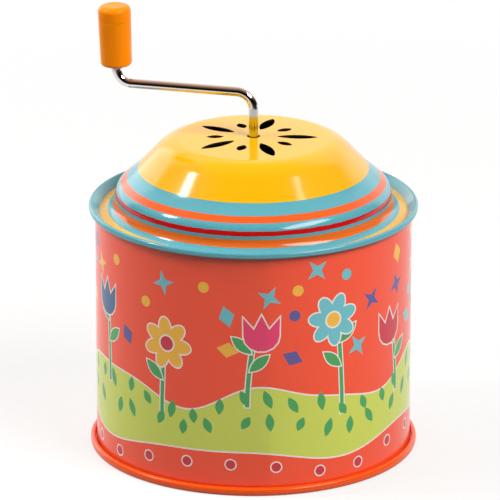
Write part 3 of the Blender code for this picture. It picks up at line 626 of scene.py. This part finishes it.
def make_lid():
    """The pressed lid: its upper side, the underside a sheet's thickness below, and the rim's seam."""
    patch_z = crown(PATCH_R)
    flank_r, flank_z, _ = FLANK[0]
    brow_r = (flank_z + flank_r * tan(BROW_SLOPE) - CROWN_Z) / (tan(BROW_SLOPE) - tan(CROWN_SLOPE))
    top = [(PATCH_R, patch_z, 0.0), (brow_r, crown(brow_r), BROW_R), *FLANK]
    under = []
    for (xa, ya, _), (xb, yb, bend), (xc, yc, _) in zip(top, top[1:], top[2:]):
        into = (Vector((xb, yb)) - Vector((xa, ya))).normalized()
        on = (Vector((xc, yc)) - Vector((xb, yb))).normalized()
        mid = (left_of(into) + left_of(on)).normalized()
        turn = into.x * on.y - into.y * on.x
        point = Vector((xb, yb)) - mid * (TIN / mid.dot(left_of(into)))
        under.append((point.x, point.y, max(bend + (TIN if turn > 0 else -TIN), 0.05)))
    floor_in, floor_out = under[4], under[5]
    fall = (floor_out[1] - floor_in[1]) / (floor_out[0] - floor_in[0])
    spigot_z = floor_in[1] + fall * (SPIGOT_R - floor_in[0])
    corners = [
        *top,
        (RIM_R, CAN_HEIGHT, RIM_BEND_R),
        (RIM_R, LID_SEAM_Z, BEAD_BEND_R),
        (BODY_R + HAIRLINE, LID_SEAM_Z, 0.0),
        (BODY_R + HAIRLINE, LID_SEAM_Z + HAIRLINE, 0.0),
        (BODY_IN_R - HAIRLINE, LID_SEAM_Z + HAIRLINE, 0.0),
        (BODY_IN_R - HAIRLINE, LID_SEAM_Z - FLANGE_STEP, 0.0),
        (SPIGOT_R, LID_SEAM_Z - FLANGE_STEP, 0.0),
        (SPIGOT_R, spigot_z, 0.0),
        *under[4::-1],
        (PATCH_R, patch_z - TIN, 0.0),
    ]
    run = cut(outline(corners), SHEET_STEP)
    edges = [(ink, (PATCH_R + run_at(run, *at)) / PRINT_UNIT if at else 0.0) for ink, at in RING_EDGES]
    skin = Skin()
    skin.revolve(run, CAN_SEGMENTS, PATCH_R)
    holes = sound_slots()
    points = []
    for radius, count in PATCH_RINGS:
        for x, y in ring(radius, count):
            near = min(hypot(x - px, y - py) for hole in holes for px, py in hole)
            if near > CLEAR_OF_HOLES and not any(inside(hole, x, y) for hole in holes):
                points.append((x, y))

    def upper(r):
        return crown(r), (sin(CROWN_SLOPE), cos(CROWN_SLOPE)), r / PRINT_UNIT

    def lower(r):
        return crown(r) - TIN, (-sin(CROWN_SLOPE), -cos(CROWN_SLOPE)), r / PRINT_UNIT

    rim = ring(PATCH_R, CAN_SEGMENTS)
    pierced(skin, rim, [ring(HOLE_R, 48), *holes], upper, lower, points)
    inks = [
        enamel("lid_enamel", ring_print(edges), 0.13, 0.012),
        plated("lid_cut_edge", (0.42, 0.33, 0.2, 1.0), 0.3),
    ]
    skin.piece("tin_lid", inks, "can", "lid_tin", "lid")


# Printed wall


AROUND = 2 * pi * BODY_R
WALL_FOOT = BASE_BEAD_H + HAIRLINE
WALL_TOP = LID_SEAM_Z
WALL_INKS = ("ground", "lime", "leaf", "white", "sky", "violet", "gold", "magenta", "navy", "crimson")
WALL_RINGS = (WALL_FOOT, 5.0, 16.0, 31.0, 38.0, 46.0, 54.0, WALL_TOP)
HILL_LINE = 0.38
FINE_LINE = 0.28
BLOOM_LINE = 0.34

# The meadow's print, in millimetres round the wall and up it
BEDS = 11
FLOWER_HEIGHTS = (41.5, 35.0, 38.5)
BLOOMS = ("magenta", "sky", "crimson", "navy", "gold")
TUFT_ROWS = ((0.72, 38), (0.38, 34))
BEADS = 22
CONFETTI = 46
CONFETTI_TRIES = 4000
CONFETTI_BAND = (33.0, 54.5)
CLEAR_OF_HEADS = 8.4
CLEAR_OF_STEMS = 4.6
CLEAR_OF_CONFETTI = 6.0
CONFETTI_INKS = ("sky", "violet", "gold")


def wave(u, level, *swings):
    """A line round the wall that closes on itself, as (size, waves round the can, phase) swings."""
    turn = 2 * pi * u / AROUND
    return level + sum(size * sin(turns * turn + phase) for size, turns, phase in swings)


def hill_top(u):
    return wave(u, 23.6, (2.7, 5, 0.9), (0.9, 9, 2.0))


def hill_foot(u):
    return wave(u, 9.4, (1.5, 4, 2.6), (0.5, 7, 0.4))


def moved(shape, x, y, turn=0.0):
    c, s = cos(turn), sin(turn)
    return [(x + px * c - py * s, y + px * s + py * c) for px, py in shape]


def grown(shape, margin):
    """The outline pushed outwards, for a rim of another ink."""
    made = []
    count = len(shape)
    for k in range(count):
        before, here, after = (Vector(shape[j % count]) for j in (k - 1, k, k + 1))
        into = (here - before).normalized()
        on = (after - here).normalized()
        out = -(left_of(into) + left_of(on))
        out.normalize()
        lean = max(out.dot(-left_of(into)), 0.45)
        made.append(tuple(here + out * (margin / lean)))
    return made


def oval(half_long, half_wide, steps=20):
    turns = (2 * pi * k / steps for k in range(steps))
    return [(half_long * cos(a), half_wide * sin(a)) for a in turns]


def leaf_shape(length, width, steps=8):
    side = [(length * k / steps, -width / 2 * sin(pi * k / steps) ** 0.9) for k in range(steps + 1)]
    return side + [(x, -y) for x, y in side[-2:0:-1]]


def star(points, outer, waist):
    return [((outer if k % 2 == 0 else waist) * sin(pi * k / points),
             -(outer if k % 2 == 0 else waist) * cos(pi * k / points)) for k in range(2 * points)]


def tulip(width, height, steps=7):
    """A cup with three points."""
    half = width / 2
    cup = [(half * sin(-pi / 2 + pi * k / steps), -height * 0.42 * cos(-pi / 2 + pi * k / steps))
           for k in range(steps + 1)]
    return cup + [(half * 1.02, height * 0.5), (half * 0.42, height * 0.17), (0.0, height * 0.56),
                  (-half * 0.42, height * 0.17), (-half * 1.02, height * 0.5)]


def stroke(points, width):
    """A closed outline along an open line."""
    left, right = [], []
    for k, here in enumerate(points):
        before = Vector(points[max(k - 1, 0)])
        after = Vector(points[min(k + 1, len(points) - 1)])
        side = left_of((after - before).normalized()) * (width / 2)
        left.append(tuple(Vector(here) + side))
        right.append(tuple(Vector(here) - side))
    return right + left[::-1]


def flower(prints, dice, bed):
    """Adds one flower of the meadow to the prints and gives the place of its head."""
    u = AROUND * ((bed + 0.5) / BEDS - 0.5) + dice.uniform(-1.6, 1.6)
    tall = FLOWER_HEIGHTS[bed % 3] + dice.uniform(-0.8, 0.8)
    lean = dice.uniform(-1.8, 1.8)
    root = hill_top(u) - 4.5
    stem = [(u + lean * (1 - cos(pi * s / 16)), root + (tall - root) * s / 8) for s in range(9)]
    u += 2 * lean

    def lined(ink, shape, margin):
        prints.append(("white", grown(shape, margin)))
        prints.append((ink, shape))

    lined("leaf", stroke(stem, 1.0), FINE_LINE)
    side = 1 if bed % 2 else -1
    for way, at in ((side, 4), (-side, 6)):
        lined("leaf", moved(leaf_shape(6.2, 2.5), *stem[at], pi / 2 - way * 0.85), FINE_LINE)
    bloom = BLOOMS[bed % 5]
    if bed % 2:
        lined(bloom, moved(tulip(8.4, 9.0), u, tall), BLOOM_LINE)
    else:
        petals = [moved(oval(2.75, 1.65, 18), u + 3.6 * cos(a), tall + 3.6 * sin(a), a)
                  for a in (2 * pi * j / 7 + 0.2 * bed for j in range(7))]
        prints.extend(("white", grown(petal, BLOOM_LINE)) for petal in petals)
        prints.extend((bloom, petal) for petal in petals)
        prints.append(("white", moved(oval(2.15, 2.15, 24), u, tall)))
        prints.append(("gold" if bloom != "gold" else "crimson", moved(oval(1.75, 1.75, 24), u, tall)))
    return u, tall


def tufts(prints, dice):
    """Adds rows of short grass strokes that stay inside the hill."""
    for share, count in TUFT_ROWS:
        for k in range(count):
            u = AROUND * ((k + 0.5 * share) / count - 0.49) + dice.uniform(-0.5, 0.5)
            if abs(u) > AROUND / 2 - 5:
                continue
            foot, top = hill_foot(u), hill_top(u)
            y = foot + (top - foot) * share + dice.uniform(-0.7, 0.7)
            y = min(max(y, foot + 3.2), top - 3.6)
            blade = leaf_shape(1.2 * dice.uniform(3.0, 4.2), 2.1)
            prints.append(("leaf", moved(blade, u, y, pi / 2 + dice.uniform(-0.6, 0.6))))


def confetti(prints, dice, heads):
    """Scatters dots, diamonds and stars, clear of the flowers and of each other."""
    scattered = []
    tries = 0
    while len(scattered) < CONFETTI and tries < CONFETTI_TRIES:
        tries += 1
        u = dice.uniform(-AROUND / 2 + 6, AROUND / 2 - 6)
        y = dice.uniform(*CONFETTI_BAND)
        clear = all(hypot(u - x, y - z) > CLEAR_OF_HEADS for x, z in heads)
        clear = clear and all(abs(u - x) > CLEAR_OF_STEMS or y > z for x, z in heads)
        if clear and all(hypot(u - x, y - z) > CLEAR_OF_CONFETTI for x, z in scattered):
            scattered.append((u, y))
            ink = CONFETTI_INKS[len(scattered) % 3]
            kind = dice.randrange(3)
            turn = dice.uniform(0, pi / 2)
            diamond = [(0, -2.7), (1.9, 0), (0, 2.7), (-1.9, 0)]
            shape = (oval(1.35, 1.35, 20), diamond, star(4, 3.1, 1.05))[kind]
            prints.append((ink, moved(shape, u, y, turn if kind else 0.0)))


def artwork():
    """A meadow band with flowers and confetti, as (ink, outline) in printing order."""
    dice = random.Random(11)
    prints = []
    heads = [flower(prints, dice, bed) for bed in range(BEDS)]
    tufts(prints, dice)
    for k in range(BEADS):
        u = AROUND * ((k + 0.5) / BEADS - 0.5)
        bead = moved(oval(1.15, 1.15, 18), u, hill_foot(u) - 3.1)
        prints.append(("white", grown(bead, 0.3)))
        prints.append(("crimson", bead))
    confetti(prints, dice, heads)
    return prints


def wall_columns():
    """Where the wall's upright mesh lines are, with those of the lap seam at both ends."""
    half = AROUND / 2
    near, far = -half + SEAM_HALF, half - SEAM_HALF
    extra = [-half, near, near + SEAM_RAMPS[0], far - SEAM_RAMPS[1], far, half]
    regular = [AROUND * (k / CAN_SEGMENTS - 0.5) for k in range(1, CAN_SEGMENTS)]
    return sorted(extra + [u for u in regular if min(abs(u - x) for x in extra) > 0.25])


def wall_radius(u):
    """The wall's outer radius, which is larger on the lap seam at both ends of the print."""
    on_seam = abs(u) >= AROUND / 2 - SEAM_HALF - SHORTEST
    return BODY_R + SEAM_PROUD if on_seam else BODY_R


def wall_out(u):
    """The direction that the wall faces at a place round it."""
    a = SEAM_ANGLE + pi + u / BODY_R
    return Vector((cos(a), sin(a), 0.0))


def make_wall():
    """The wall as a tube, with each ink's areas cut into its outer side."""
    columns = wall_columns()

    def band(line, shift):
        return [(u, line(u) + shift) for u in columns]

    half_line = HILL_LINE / 2
    borders = [band(line, shift) for line in (hill_top, hill_foot) for shift in (-half_line, half_line)]
    rings = [[(u, z) for u in columns] for z in WALL_RINGS]
    uprights = [[(u, WALL_FOOT), (u, WALL_TOP)] for u in columns]
    prints = artwork()
    found, faces = triangulated([shape for _, shape in prints], borders + rings + uprights)
    boxes = []
    for ink, shape in prints:
        xs = [p[0] for p in shape]
        ys = [p[1] for p in shape]
        boxes.append((min(xs), max(xs), min(ys), max(ys), WALL_INKS.index(ink), shape))
    skin = Skin()
    for tri in faces:
        x = sum(found[k][0] for k in tri) / 3
        y = sum(found[k][1] for k in tri) / 3
        slot = bisect_right(columns, x) - 1
        u0, u1 = columns[slot], columns[slot + 1]
        share = (x - u0) / (u1 - u0)
        high = hill_top(u0) * (1 - share) + hill_top(u1) * share
        low = hill_foot(u0) * (1 - share) + hill_foot(u1) * share
        ink = 0
        if abs(y - high) < half_line or abs(y - low) < half_line:
            ink = WALL_INKS.index("white")
        elif low < y < high:
            ink = WALL_INKS.index("lime")
        for x0, x1, y0, y1, number, shape in boxes:
            if x0 < x < x1 and y0 < y < y1 and inside(shape, x, y):
                ink = number
        rise = (wall_radius(u1) - wall_radius(u0)) / (u1 - u0)
        corners = []
        for k in tri:
            u, z = found[k]
            share = (u - u0) / (u1 - u0)
            radius = wall_radius(u0) * (1 - share) + wall_radius(u1) * share
            out = wall_out(u)
            normal = Vector((out.x + rise * out.y, out.y - rise * out.x, 0.0)).normalized()
            spot = Vector((radius * out.x, radius * out.y, z))
            corners.append((spot, normal, (u / AROUND + 0.5, z / PRINT_UNIT)))
        skin.face(corners, ink)
    back = len(WALL_INKS)
    up, foot = Vector((0, 0, WALL_TOP)), Vector((0, 0, WALL_FOOT))
    plain = (0.5, 0.5)
    for u0, u1 in zip(columns, columns[1:]):
        (out0, r0), (out1, r1) = ((wall_out(u), wall_radius(u)) for u in (u0, u1))
        skin.face([(out0 * BODY_IN_R + up, -out0, plain), (out1 * BODY_IN_R + up, -out1, plain),
                   (out1 * BODY_IN_R + foot, -out1, plain), (out0 * BODY_IN_R + foot, -out0, plain)], back)
        for lift, normal, order in ((up, Vector((0, 0, 1)), 1), (foot, Vector((0, 0, -1)), -1)):
            quad = [(out0 * BODY_IN_R + lift, normal, plain), (out0 * r0 + lift, normal, plain),
                    (out1 * r1 + lift, normal, plain), (out1 * BODY_IN_R + lift, normal, plain)]
            skin.face(quad[::order], back)
    inks = [enamel("wall_" + ink, INKS[ink], 0.17, 0.004, 0.42) for ink in WALL_INKS]
    inks.append(plated("wall_bare_tin", (0.62, 0.62, 0.6, 1.0), 0.28))
    skin.piece("printed_wall", inks, "can", "body_tin", "body_wall")


# Base


def make_base():
    """The recessed bottom, its three screw holes and the rim that holds the wall."""
    floor_top = PAN_RECESS + TIN
    corners = [
        (PAN_FLOOR_R, floor_top, 0.0),
        (SPIGOT_R, floor_top, 0.0),
        (SPIGOT_R, BASE_BEAD_H + FLANGE_STEP, 0.0),
        (BODY_IN_R - HAIRLINE, BASE_BEAD_H + FLANGE_STEP, 0.0),
        (BODY_IN_R - HAIRLINE, BASE_BEAD_H - HAIRLINE, 0.0),
        (BODY_R + HAIRLINE, BASE_BEAD_H - HAIRLINE, 0.0),
        (BODY_R + HAIRLINE, GROOVE_FOOT, 0.0),
        (BODY_R + GROOVE_WIDTH, GROOVE_FOOT, 0.0),
        (BODY_R + GROOVE_WIDTH, BASE_BEAD_H, GROOVE_BEND_R),
        (RIM_R, BASE_BEAD_H, BASE_BEND_R),
        (RIM_R, 0.0, BASE_BEND_R),
        (BODY_R - 0.1, 0.0, PAN_BEND_R),
        (BODY_R - PAN_WALL_SLANT, PAN_RECESS, PAN_BEND_R),
        (PAN_FLOOR_R, PAN_RECESS, 0.0),
    ]
    skin = Skin()
    skin.revolve(cut(outline(corners), SHEET_STEP), CAN_SEGMENTS)
    holes = [ring(POST_HOLE_R, 32, x, y) for x, y in POSTS]
    points = [p for radius, count in PAN_RINGS for p in ring(radius, count)
              if all(hypot(p[0] - x, p[1] - y) > CLEAR_OF_POSTS for x, y in POSTS)]

    def upper(r):
        return floor_top, (0.0, 1.0), r / PRINT_UNIT

    def lower(r):
        return PAN_RECESS, (0.0, -1.0), r / PRINT_UNIT

    pierced(skin, ring(PAN_FLOOR_R, CAN_SEGMENTS), holes, upper, lower, points)
    inks = [enamel("base_enamel", (0.88, 0.095, 0.006, 1.0), 0.2, 0.006, 0.32),
            plated("base_cut_edge", (0.5, 0.48, 0.45, 1.0), 0.3)]
    skin.piece("base_tin_pan", inks, "can", "base_tin", "base_pan")


# Crank


def make_rod():
    """The bent wire, swept round its own path, with both ends chamfered."""
    stub = Vector((-sin(STUB_LEAN), cos(STUB_LEAN)))
    end = Vector((KNOB_FOOT.x, KNOB_FOOT.z)) + stub * STUB_END
    path = [
        (0.0, ROD_FOOT_Z, 0.0),
        (0.0, ARM_Z, ARM_BENDS[0]),
        (-THROW, ARM_Z + THROW * tan(ARM_TILT), ARM_BENDS[1]),
        (end.x, end.y, 0.0),
    ]
    run = cut(outline(path, step=WIRE_BEND_STEP), WIRE_STEP)
    rows = [(run[0][0], run[0][2], 0.0)]
    for p, q, _, m in run:
        rows.append((q, m, rows[-1][2] + (q - p).length))

    def spoke(side, j):
        a = 2 * pi * (j % WIRE_SEGMENTS) / WIRE_SEGMENTS
        return Vector((side.x * cos(a), -sin(a), side.y * cos(a)))

    def corner(row, j):
        place, side, v = row
        normal = spoke(side, j)
        spot = Vector((place.x, 0.0, place.y)) + normal * WIRE_R
        return spot, normal, (j / WIRE_SEGMENTS, v / PRINT_UNIT)

    skin = Skin()
    for row, after in zip(rows, rows[1:]):
        for i in range(WIRE_SEGMENTS):
            skin.face([corner(row, i), corner(row, i + 1), corner(after, i + 1), corner(after, i)])
    for (place, side, v), way in ((rows[0], -1), (rows[-1], 1)):
        ahead = Vector((side.y, 0.0, -side.x)) * way
        mid = Vector((place.x, 0.0, place.y))
        tip = mid + ahead * WIRE_CHAMFER
        for i in range(WIRE_SEGMENTS):
            spokes = [spoke(side, i), spoke(side, i + 1)]
            slope = [(s + ahead).normalized() for s in spokes]
            outer = [mid + s * WIRE_R for s in spokes]
            inner = [tip + s * (WIRE_R - WIRE_CHAMFER) for s in spokes]
            quad = [(outer[0], slope[0], (0, v)), (outer[1], slope[1], (0, v)),
                    (inner[1], slope[1], (0, v)), (inner[0], slope[0], (0, v))]
            cap = [(inner[0], ahead, (0, v)), (inner[1], ahead, (0, v)), (tip, ahead, (0, v))]
            skin.face(quad[::-way])
            skin.face(cap[::-way])
    chrome = plated("crank_chrome", (0.77, 0.75, 0.735, 1.0), 0.05, 0.4)
    skin.piece("crank_wire", [chrome], "crank", "chrome", "crank_rod")


def knob_radius(height):
    return KNOB_FOOT_R + (KNOB_TOP_R - KNOB_FOOT_R) * height / KNOB_LENGTH


def make_knob():
    """The knob and its cap, drawn upright from the knob's foot and then leant as the stub is."""
    joint = KNOB_LENGTH - CAP_LENGTH
    joint_r = knob_radius(joint)
    socket_r = joint_r - KNOB_WALL
    plug_r = socket_r - PLUG_PLAY
    bore_r = WIRE_R + WIRE_PLAY
    body = [
        (socket_r, joint - SPLIT, 0.0),
        (joint_r - SPLIT_CHAMFER, joint - SPLIT, 0.0),
        (joint_r, joint - SPLIT - SPLIT_CHAMFER, 0.0),
        (KNOB_FOOT_R, 0.45, 0.85),
        (2.35, 0.45, 0.35),
        (1.95, 0.0, 0.15),
        (bore_r, 0.0, 0.0),
        (bore_r, BORE_DEPTH, 0.0),
        (socket_r, BORE_DEPTH, 0.0),
    ]
    cap = [
        (0.0, KNOB_LENGTH - DIMPLE, 0.0),
        (1.5, KNOB_LENGTH - DIMPLE, 0.05),
        (1.62, KNOB_LENGTH, 0.05),
        (KNOB_TOP_R, KNOB_LENGTH, 1.45),
        (joint_r, joint + SPLIT + SPLIT_CHAMFER, 0.0),
        (joint_r - SPLIT_CHAMFER, joint + SPLIT, 0.0),
        (plug_r, joint + SPLIT, 0.0),
        (plug_r, joint - PLUG_LENGTH, 0.0),
        (0.0, joint - PLUG_LENGTH, 0.0),
    ]
    plastic = moulded("knob_plastic", (1.0, 0.27, 0.0, 1.0), 0.3, 0.3, 0.18)
    place = Matrix.Translation(KNOB_FOOT * MM) @ Matrix.Rotation(-STUB_LEAN, 4, "Y")
    for name, corners, closed, node in (("turning_knob", body, True, "crank_knob"),
                                        ("turning_knob_cap", cap, False, "knob_cap")):
        skin = Skin(place)
        skin.revolve(cut(outline(corners, closed), KNOB_STEP), SMALL_SEGMENTS)
        skin.piece(name, [plastic], "knob", "knob_plastic", node)


# Movement inside the can, and the screws under it


def dress_movement():
    """Gives each solid that still shows its own metal or nylon."""
    finishes = {
        "brass": plated("turned_brass", (0.78, 0.55, 0.24, 1.0), 0.22, 0.6, (1.0, 1.0, 6.0)),
        "steel": plated("zinc_steel", (0.6, 0.6, 0.6, 1.0), 0.3, 0.5),
        "comb_steel": plated("ground_comb_steel", (0.62, 0.62, 0.6, 1.0), 0.24, 0.8, (1.0, 14.0, 1.0)),
        "casting": plated("cast_alloy", (0.5, 0.5, 0.49, 1.0), 0.45, 0.4, (1.0, 1.0, 1.0)),
        "nylon": moulded("moulded_nylon", (0.8, 0.78, 0.72, 1.0), 0.45, 0.2),
    }
    for row in frame["record"]["subparts"]:
        node = frame["nodes"][row["node"]]
        finish = finishes.get(row["material_slot"])
        if finish and not node.hide_render:
            node.data.materials.clear()
            node.data.materials.append(finish)


# Studio


def towards(azimuth, elevation, distance):
    """A place seen from the object, by its azimuth to the right of the camera."""
    a = VIEW_TURN - pi / 2 + radians(azimuth)
    e = radians(elevation)
    return Vector((cos(a) * cos(e), sin(a) * cos(e), sin(e))) * distance


def softbox(name, azimuth, elevation, width, height, radiance, roll, shape, shown):
    """A lamp that faces the object. Its power follows from its area, so its brightness is the radiance."""
    lamp = bpy.data.lights.new(name, "AREA")
    lamp.shape = shape
    lamp.size = width
    lamp.size_y = height
    lamp.energy = radiance * pi * width * height * (pi / 4 if shape == "ELLIPSE" else 1.0)
    obj = bpy.data.objects.new(name, lamp)
    bpy.context.scene.collection.objects.link(obj)
    obj.visible_glossy = shown
    obj.location = LAMP_TARGET + towards(azimuth, elevation, LAMP_DISTANCE)
    aim = (LAMP_TARGET - obj.location).to_track_quat("-Z", "Y").to_matrix()
    obj.rotation_euler = (aim @ Matrix.Rotation(radians(roll), 3, "Z")).to_euler()


def make_world():
    """White where the camera looks.

    Reflections see a bright backdrop behind the object, a bright patch on each side of it, and
    a warm ceiling that grows dim towards the front. Diffuse light comes mostly from high up.
    """
    world = bpy.data.worlds.new("studio")
    bpy.context.scene.world = world
    world.use_nodes = True
    sky = Nodes(world.node_tree)
    sky.tree.nodes.clear()
    axes = sky.axes(sky.node("TexCoord").outputs["Generated"])
    up = axes[2]
    level = sky.math("SQRT", sky.math("MAXIMUM", sky.math("SUBTRACT", 1.0, sky.times(up, up)), 1e-6))

    def smooth(value, low, high, new_low, new_high):
        return sky.span(value, low, high, new_low, new_high, "SMOOTHSTEP")

    def patch(azimuth, outer, inner, strength, low, high):
        """Bright within an angle of its azimuth and below a height, with soft edges, all in degrees."""
        facing = sky.math("DIVIDE", sky.along(axes, azimuth), level)
        return sky.times(smooth(facing, cos(radians(outer)), cos(radians(inner)), 0.0, strength),
                         smooth(up, sin(radians(low)), sin(radians(high)), 1.0, 0.0))

    backdrop = patch(180, 60, 46, 1.12, 46, 64)
    left = patch(-142, 20, 13, 2.3, 26, 38)
    right = patch(142, 20, 10, 1.4, 20, 32)
    white = sky.math("MAXIMUM", backdrop, sky.math("MAXIMUM", left, right))
    path = sky.node("LightPath")
    is_camera = path.outputs["Is Camera Ray"]
    is_diffuse = path.outputs["Is Diffuse Ray"]
    ceiling = sky.times(smooth(sky.along(axes, 180), -1.0, 0.45, 0.03, 0.85),
                        smooth(up, sin(radians(10)), sin(radians(50)), 0.05, 1.0))
    lit = smooth(up, sin(radians(20)), sin(radians(80)), 0.017, 0.26)
    room = sky.math("ADD", sky.times(lit, is_diffuse),
                    sky.times(ceiling, sky.math("SUBTRACT", 1.0, is_diffuse)))
    unseen = sky.math("SUBTRACT", 1.0, is_camera)
    pale = sky.math("ADD", is_camera, sky.times(white, unseen))
    dim = sky.times(sky.times(room, unseen), sky.math("MAXIMUM", sky.math("SUBTRACT", 1.0, white), 0.0))
    both = sky.node("AddShader")
    for socket, strength, colour in zip(both.inputs, (pale, dim), (grey(1.0), DUSK)):
        light = sky.node("Background")
        light.inputs["Color"].default_value = colour
        sky.link(strength, light.inputs["Strength"])
        sky.link(light.outputs[0], socket)
    sky.link(both.outputs[0], sky.node("OutputWorld").inputs["Surface"])


def make_floor():
    """A pale table that keeps the object's shadow and runs out into the white backdrop."""
    skin = Skin()
    rows = [Vector((r, 0.0)) for r in TABLE_RADII]
    up = Vector((0.0, 1.0))
    skin.revolve([(p, q, up, up) for p, q in zip(rows, rows[1:])], TABLE_SEGMENTS)
    paint = Paint("table", Roughness=0.6, Specular_IOR_Level=0.0)
    place = paint.place()
    grain = paint.noise(place, 300.0, 3.0)
    path = paint.node("LightPath")
    is_camera = path.outputs["Is Camera Ray"]
    mirrored = paint.math("MAXIMUM", path.outputs["Is Glossy Ray"], path.outputs["Is Transmission Ray"])
    seen = paint.math("MAXIMUM", is_camera, mirrored)
    speckled = paint.mix(paint.span(grain, 0.3, 0.7, 0.0, 1.0), grey(TABLE_GREYS[0]), grey(TABLE_GREYS[1]))
    paint.set(Base_Color=paint.mix(is_camera, grey(TABLE_BOUNCE), speckled))

    def glow(strength):
        made = paint.node("Emission")
        made.inputs["Color"].default_value = grey(1.0)
        paint.link(strength, made.inputs["Strength"])
        return made.outputs[0]

    def joined(kind, first, second, *factor):
        made = paint.node(kind)
        for value, socket in zip((*factor, first, second), made.inputs):
            paint.link(value, socket)
        return made.outputs[0]

    near = joined("AddShader", paint.shader.outputs[0], glow(paint.times(seen, TABLE_GLOW)))
    sweep = paint.times(mirrored, paint.span(paint.along(paint.axes(place), 180), -0.1, 0.2, 0.04, 1.0))
    far = glow(paint.math("MAXIMUM", is_camera, sweep))
    reach = paint.node("VectorMath", operation="LENGTH")
    paint.link(place, reach.inputs[0])
    surface = joined("MixShader", near, far, paint.span(reach.outputs["Value"], 0.2, 0.36, 0.0, 1.0))
    paint.link(surface, paint.tree.nodes["Material Output"].inputs["Surface"])
    mesh = bpy.data.meshes.new("table")
    mesh.from_pydata([Vector(p) * MM for p in skin.points], [], skin.faces)
    mesh.shade_smooth()
    mesh.materials.append(paint.material)
    floor = bpy.data.objects.new("table", mesh)
    bpy.context.scene.collection.objects.link(floor)


def make_camera():
    data = bpy.data.cameras.new("camera")
    data.lens = VIEW_LENS
    data.sensor_width = 36.0
    data.clip_start = 0.05
    data.clip_end = 20.0
    camera = bpy.data.objects.new("camera", data)
    bpy.context.scene.collection.objects.link(camera)
    camera.location = (VIEW_DISTANCE * sin(VIEW_TURN), -VIEW_DISTANCE * cos(VIEW_TURN), VIEW_HEIGHT)
    camera.rotation_euler = (pi / 2 - VIEW_PITCH, 0.0, VIEW_TURN + VIEW_YAW)
    bpy.context.scene.camera = camera


make_camera()
make_world()
for row in LAMPS:
    softbox(*row)
make_floor()
make_lid()
make_wall()
make_base()
make_rod()
make_knob()
dress_movement()

bpy.context.scene.view_settings.view_transform = "Standard"
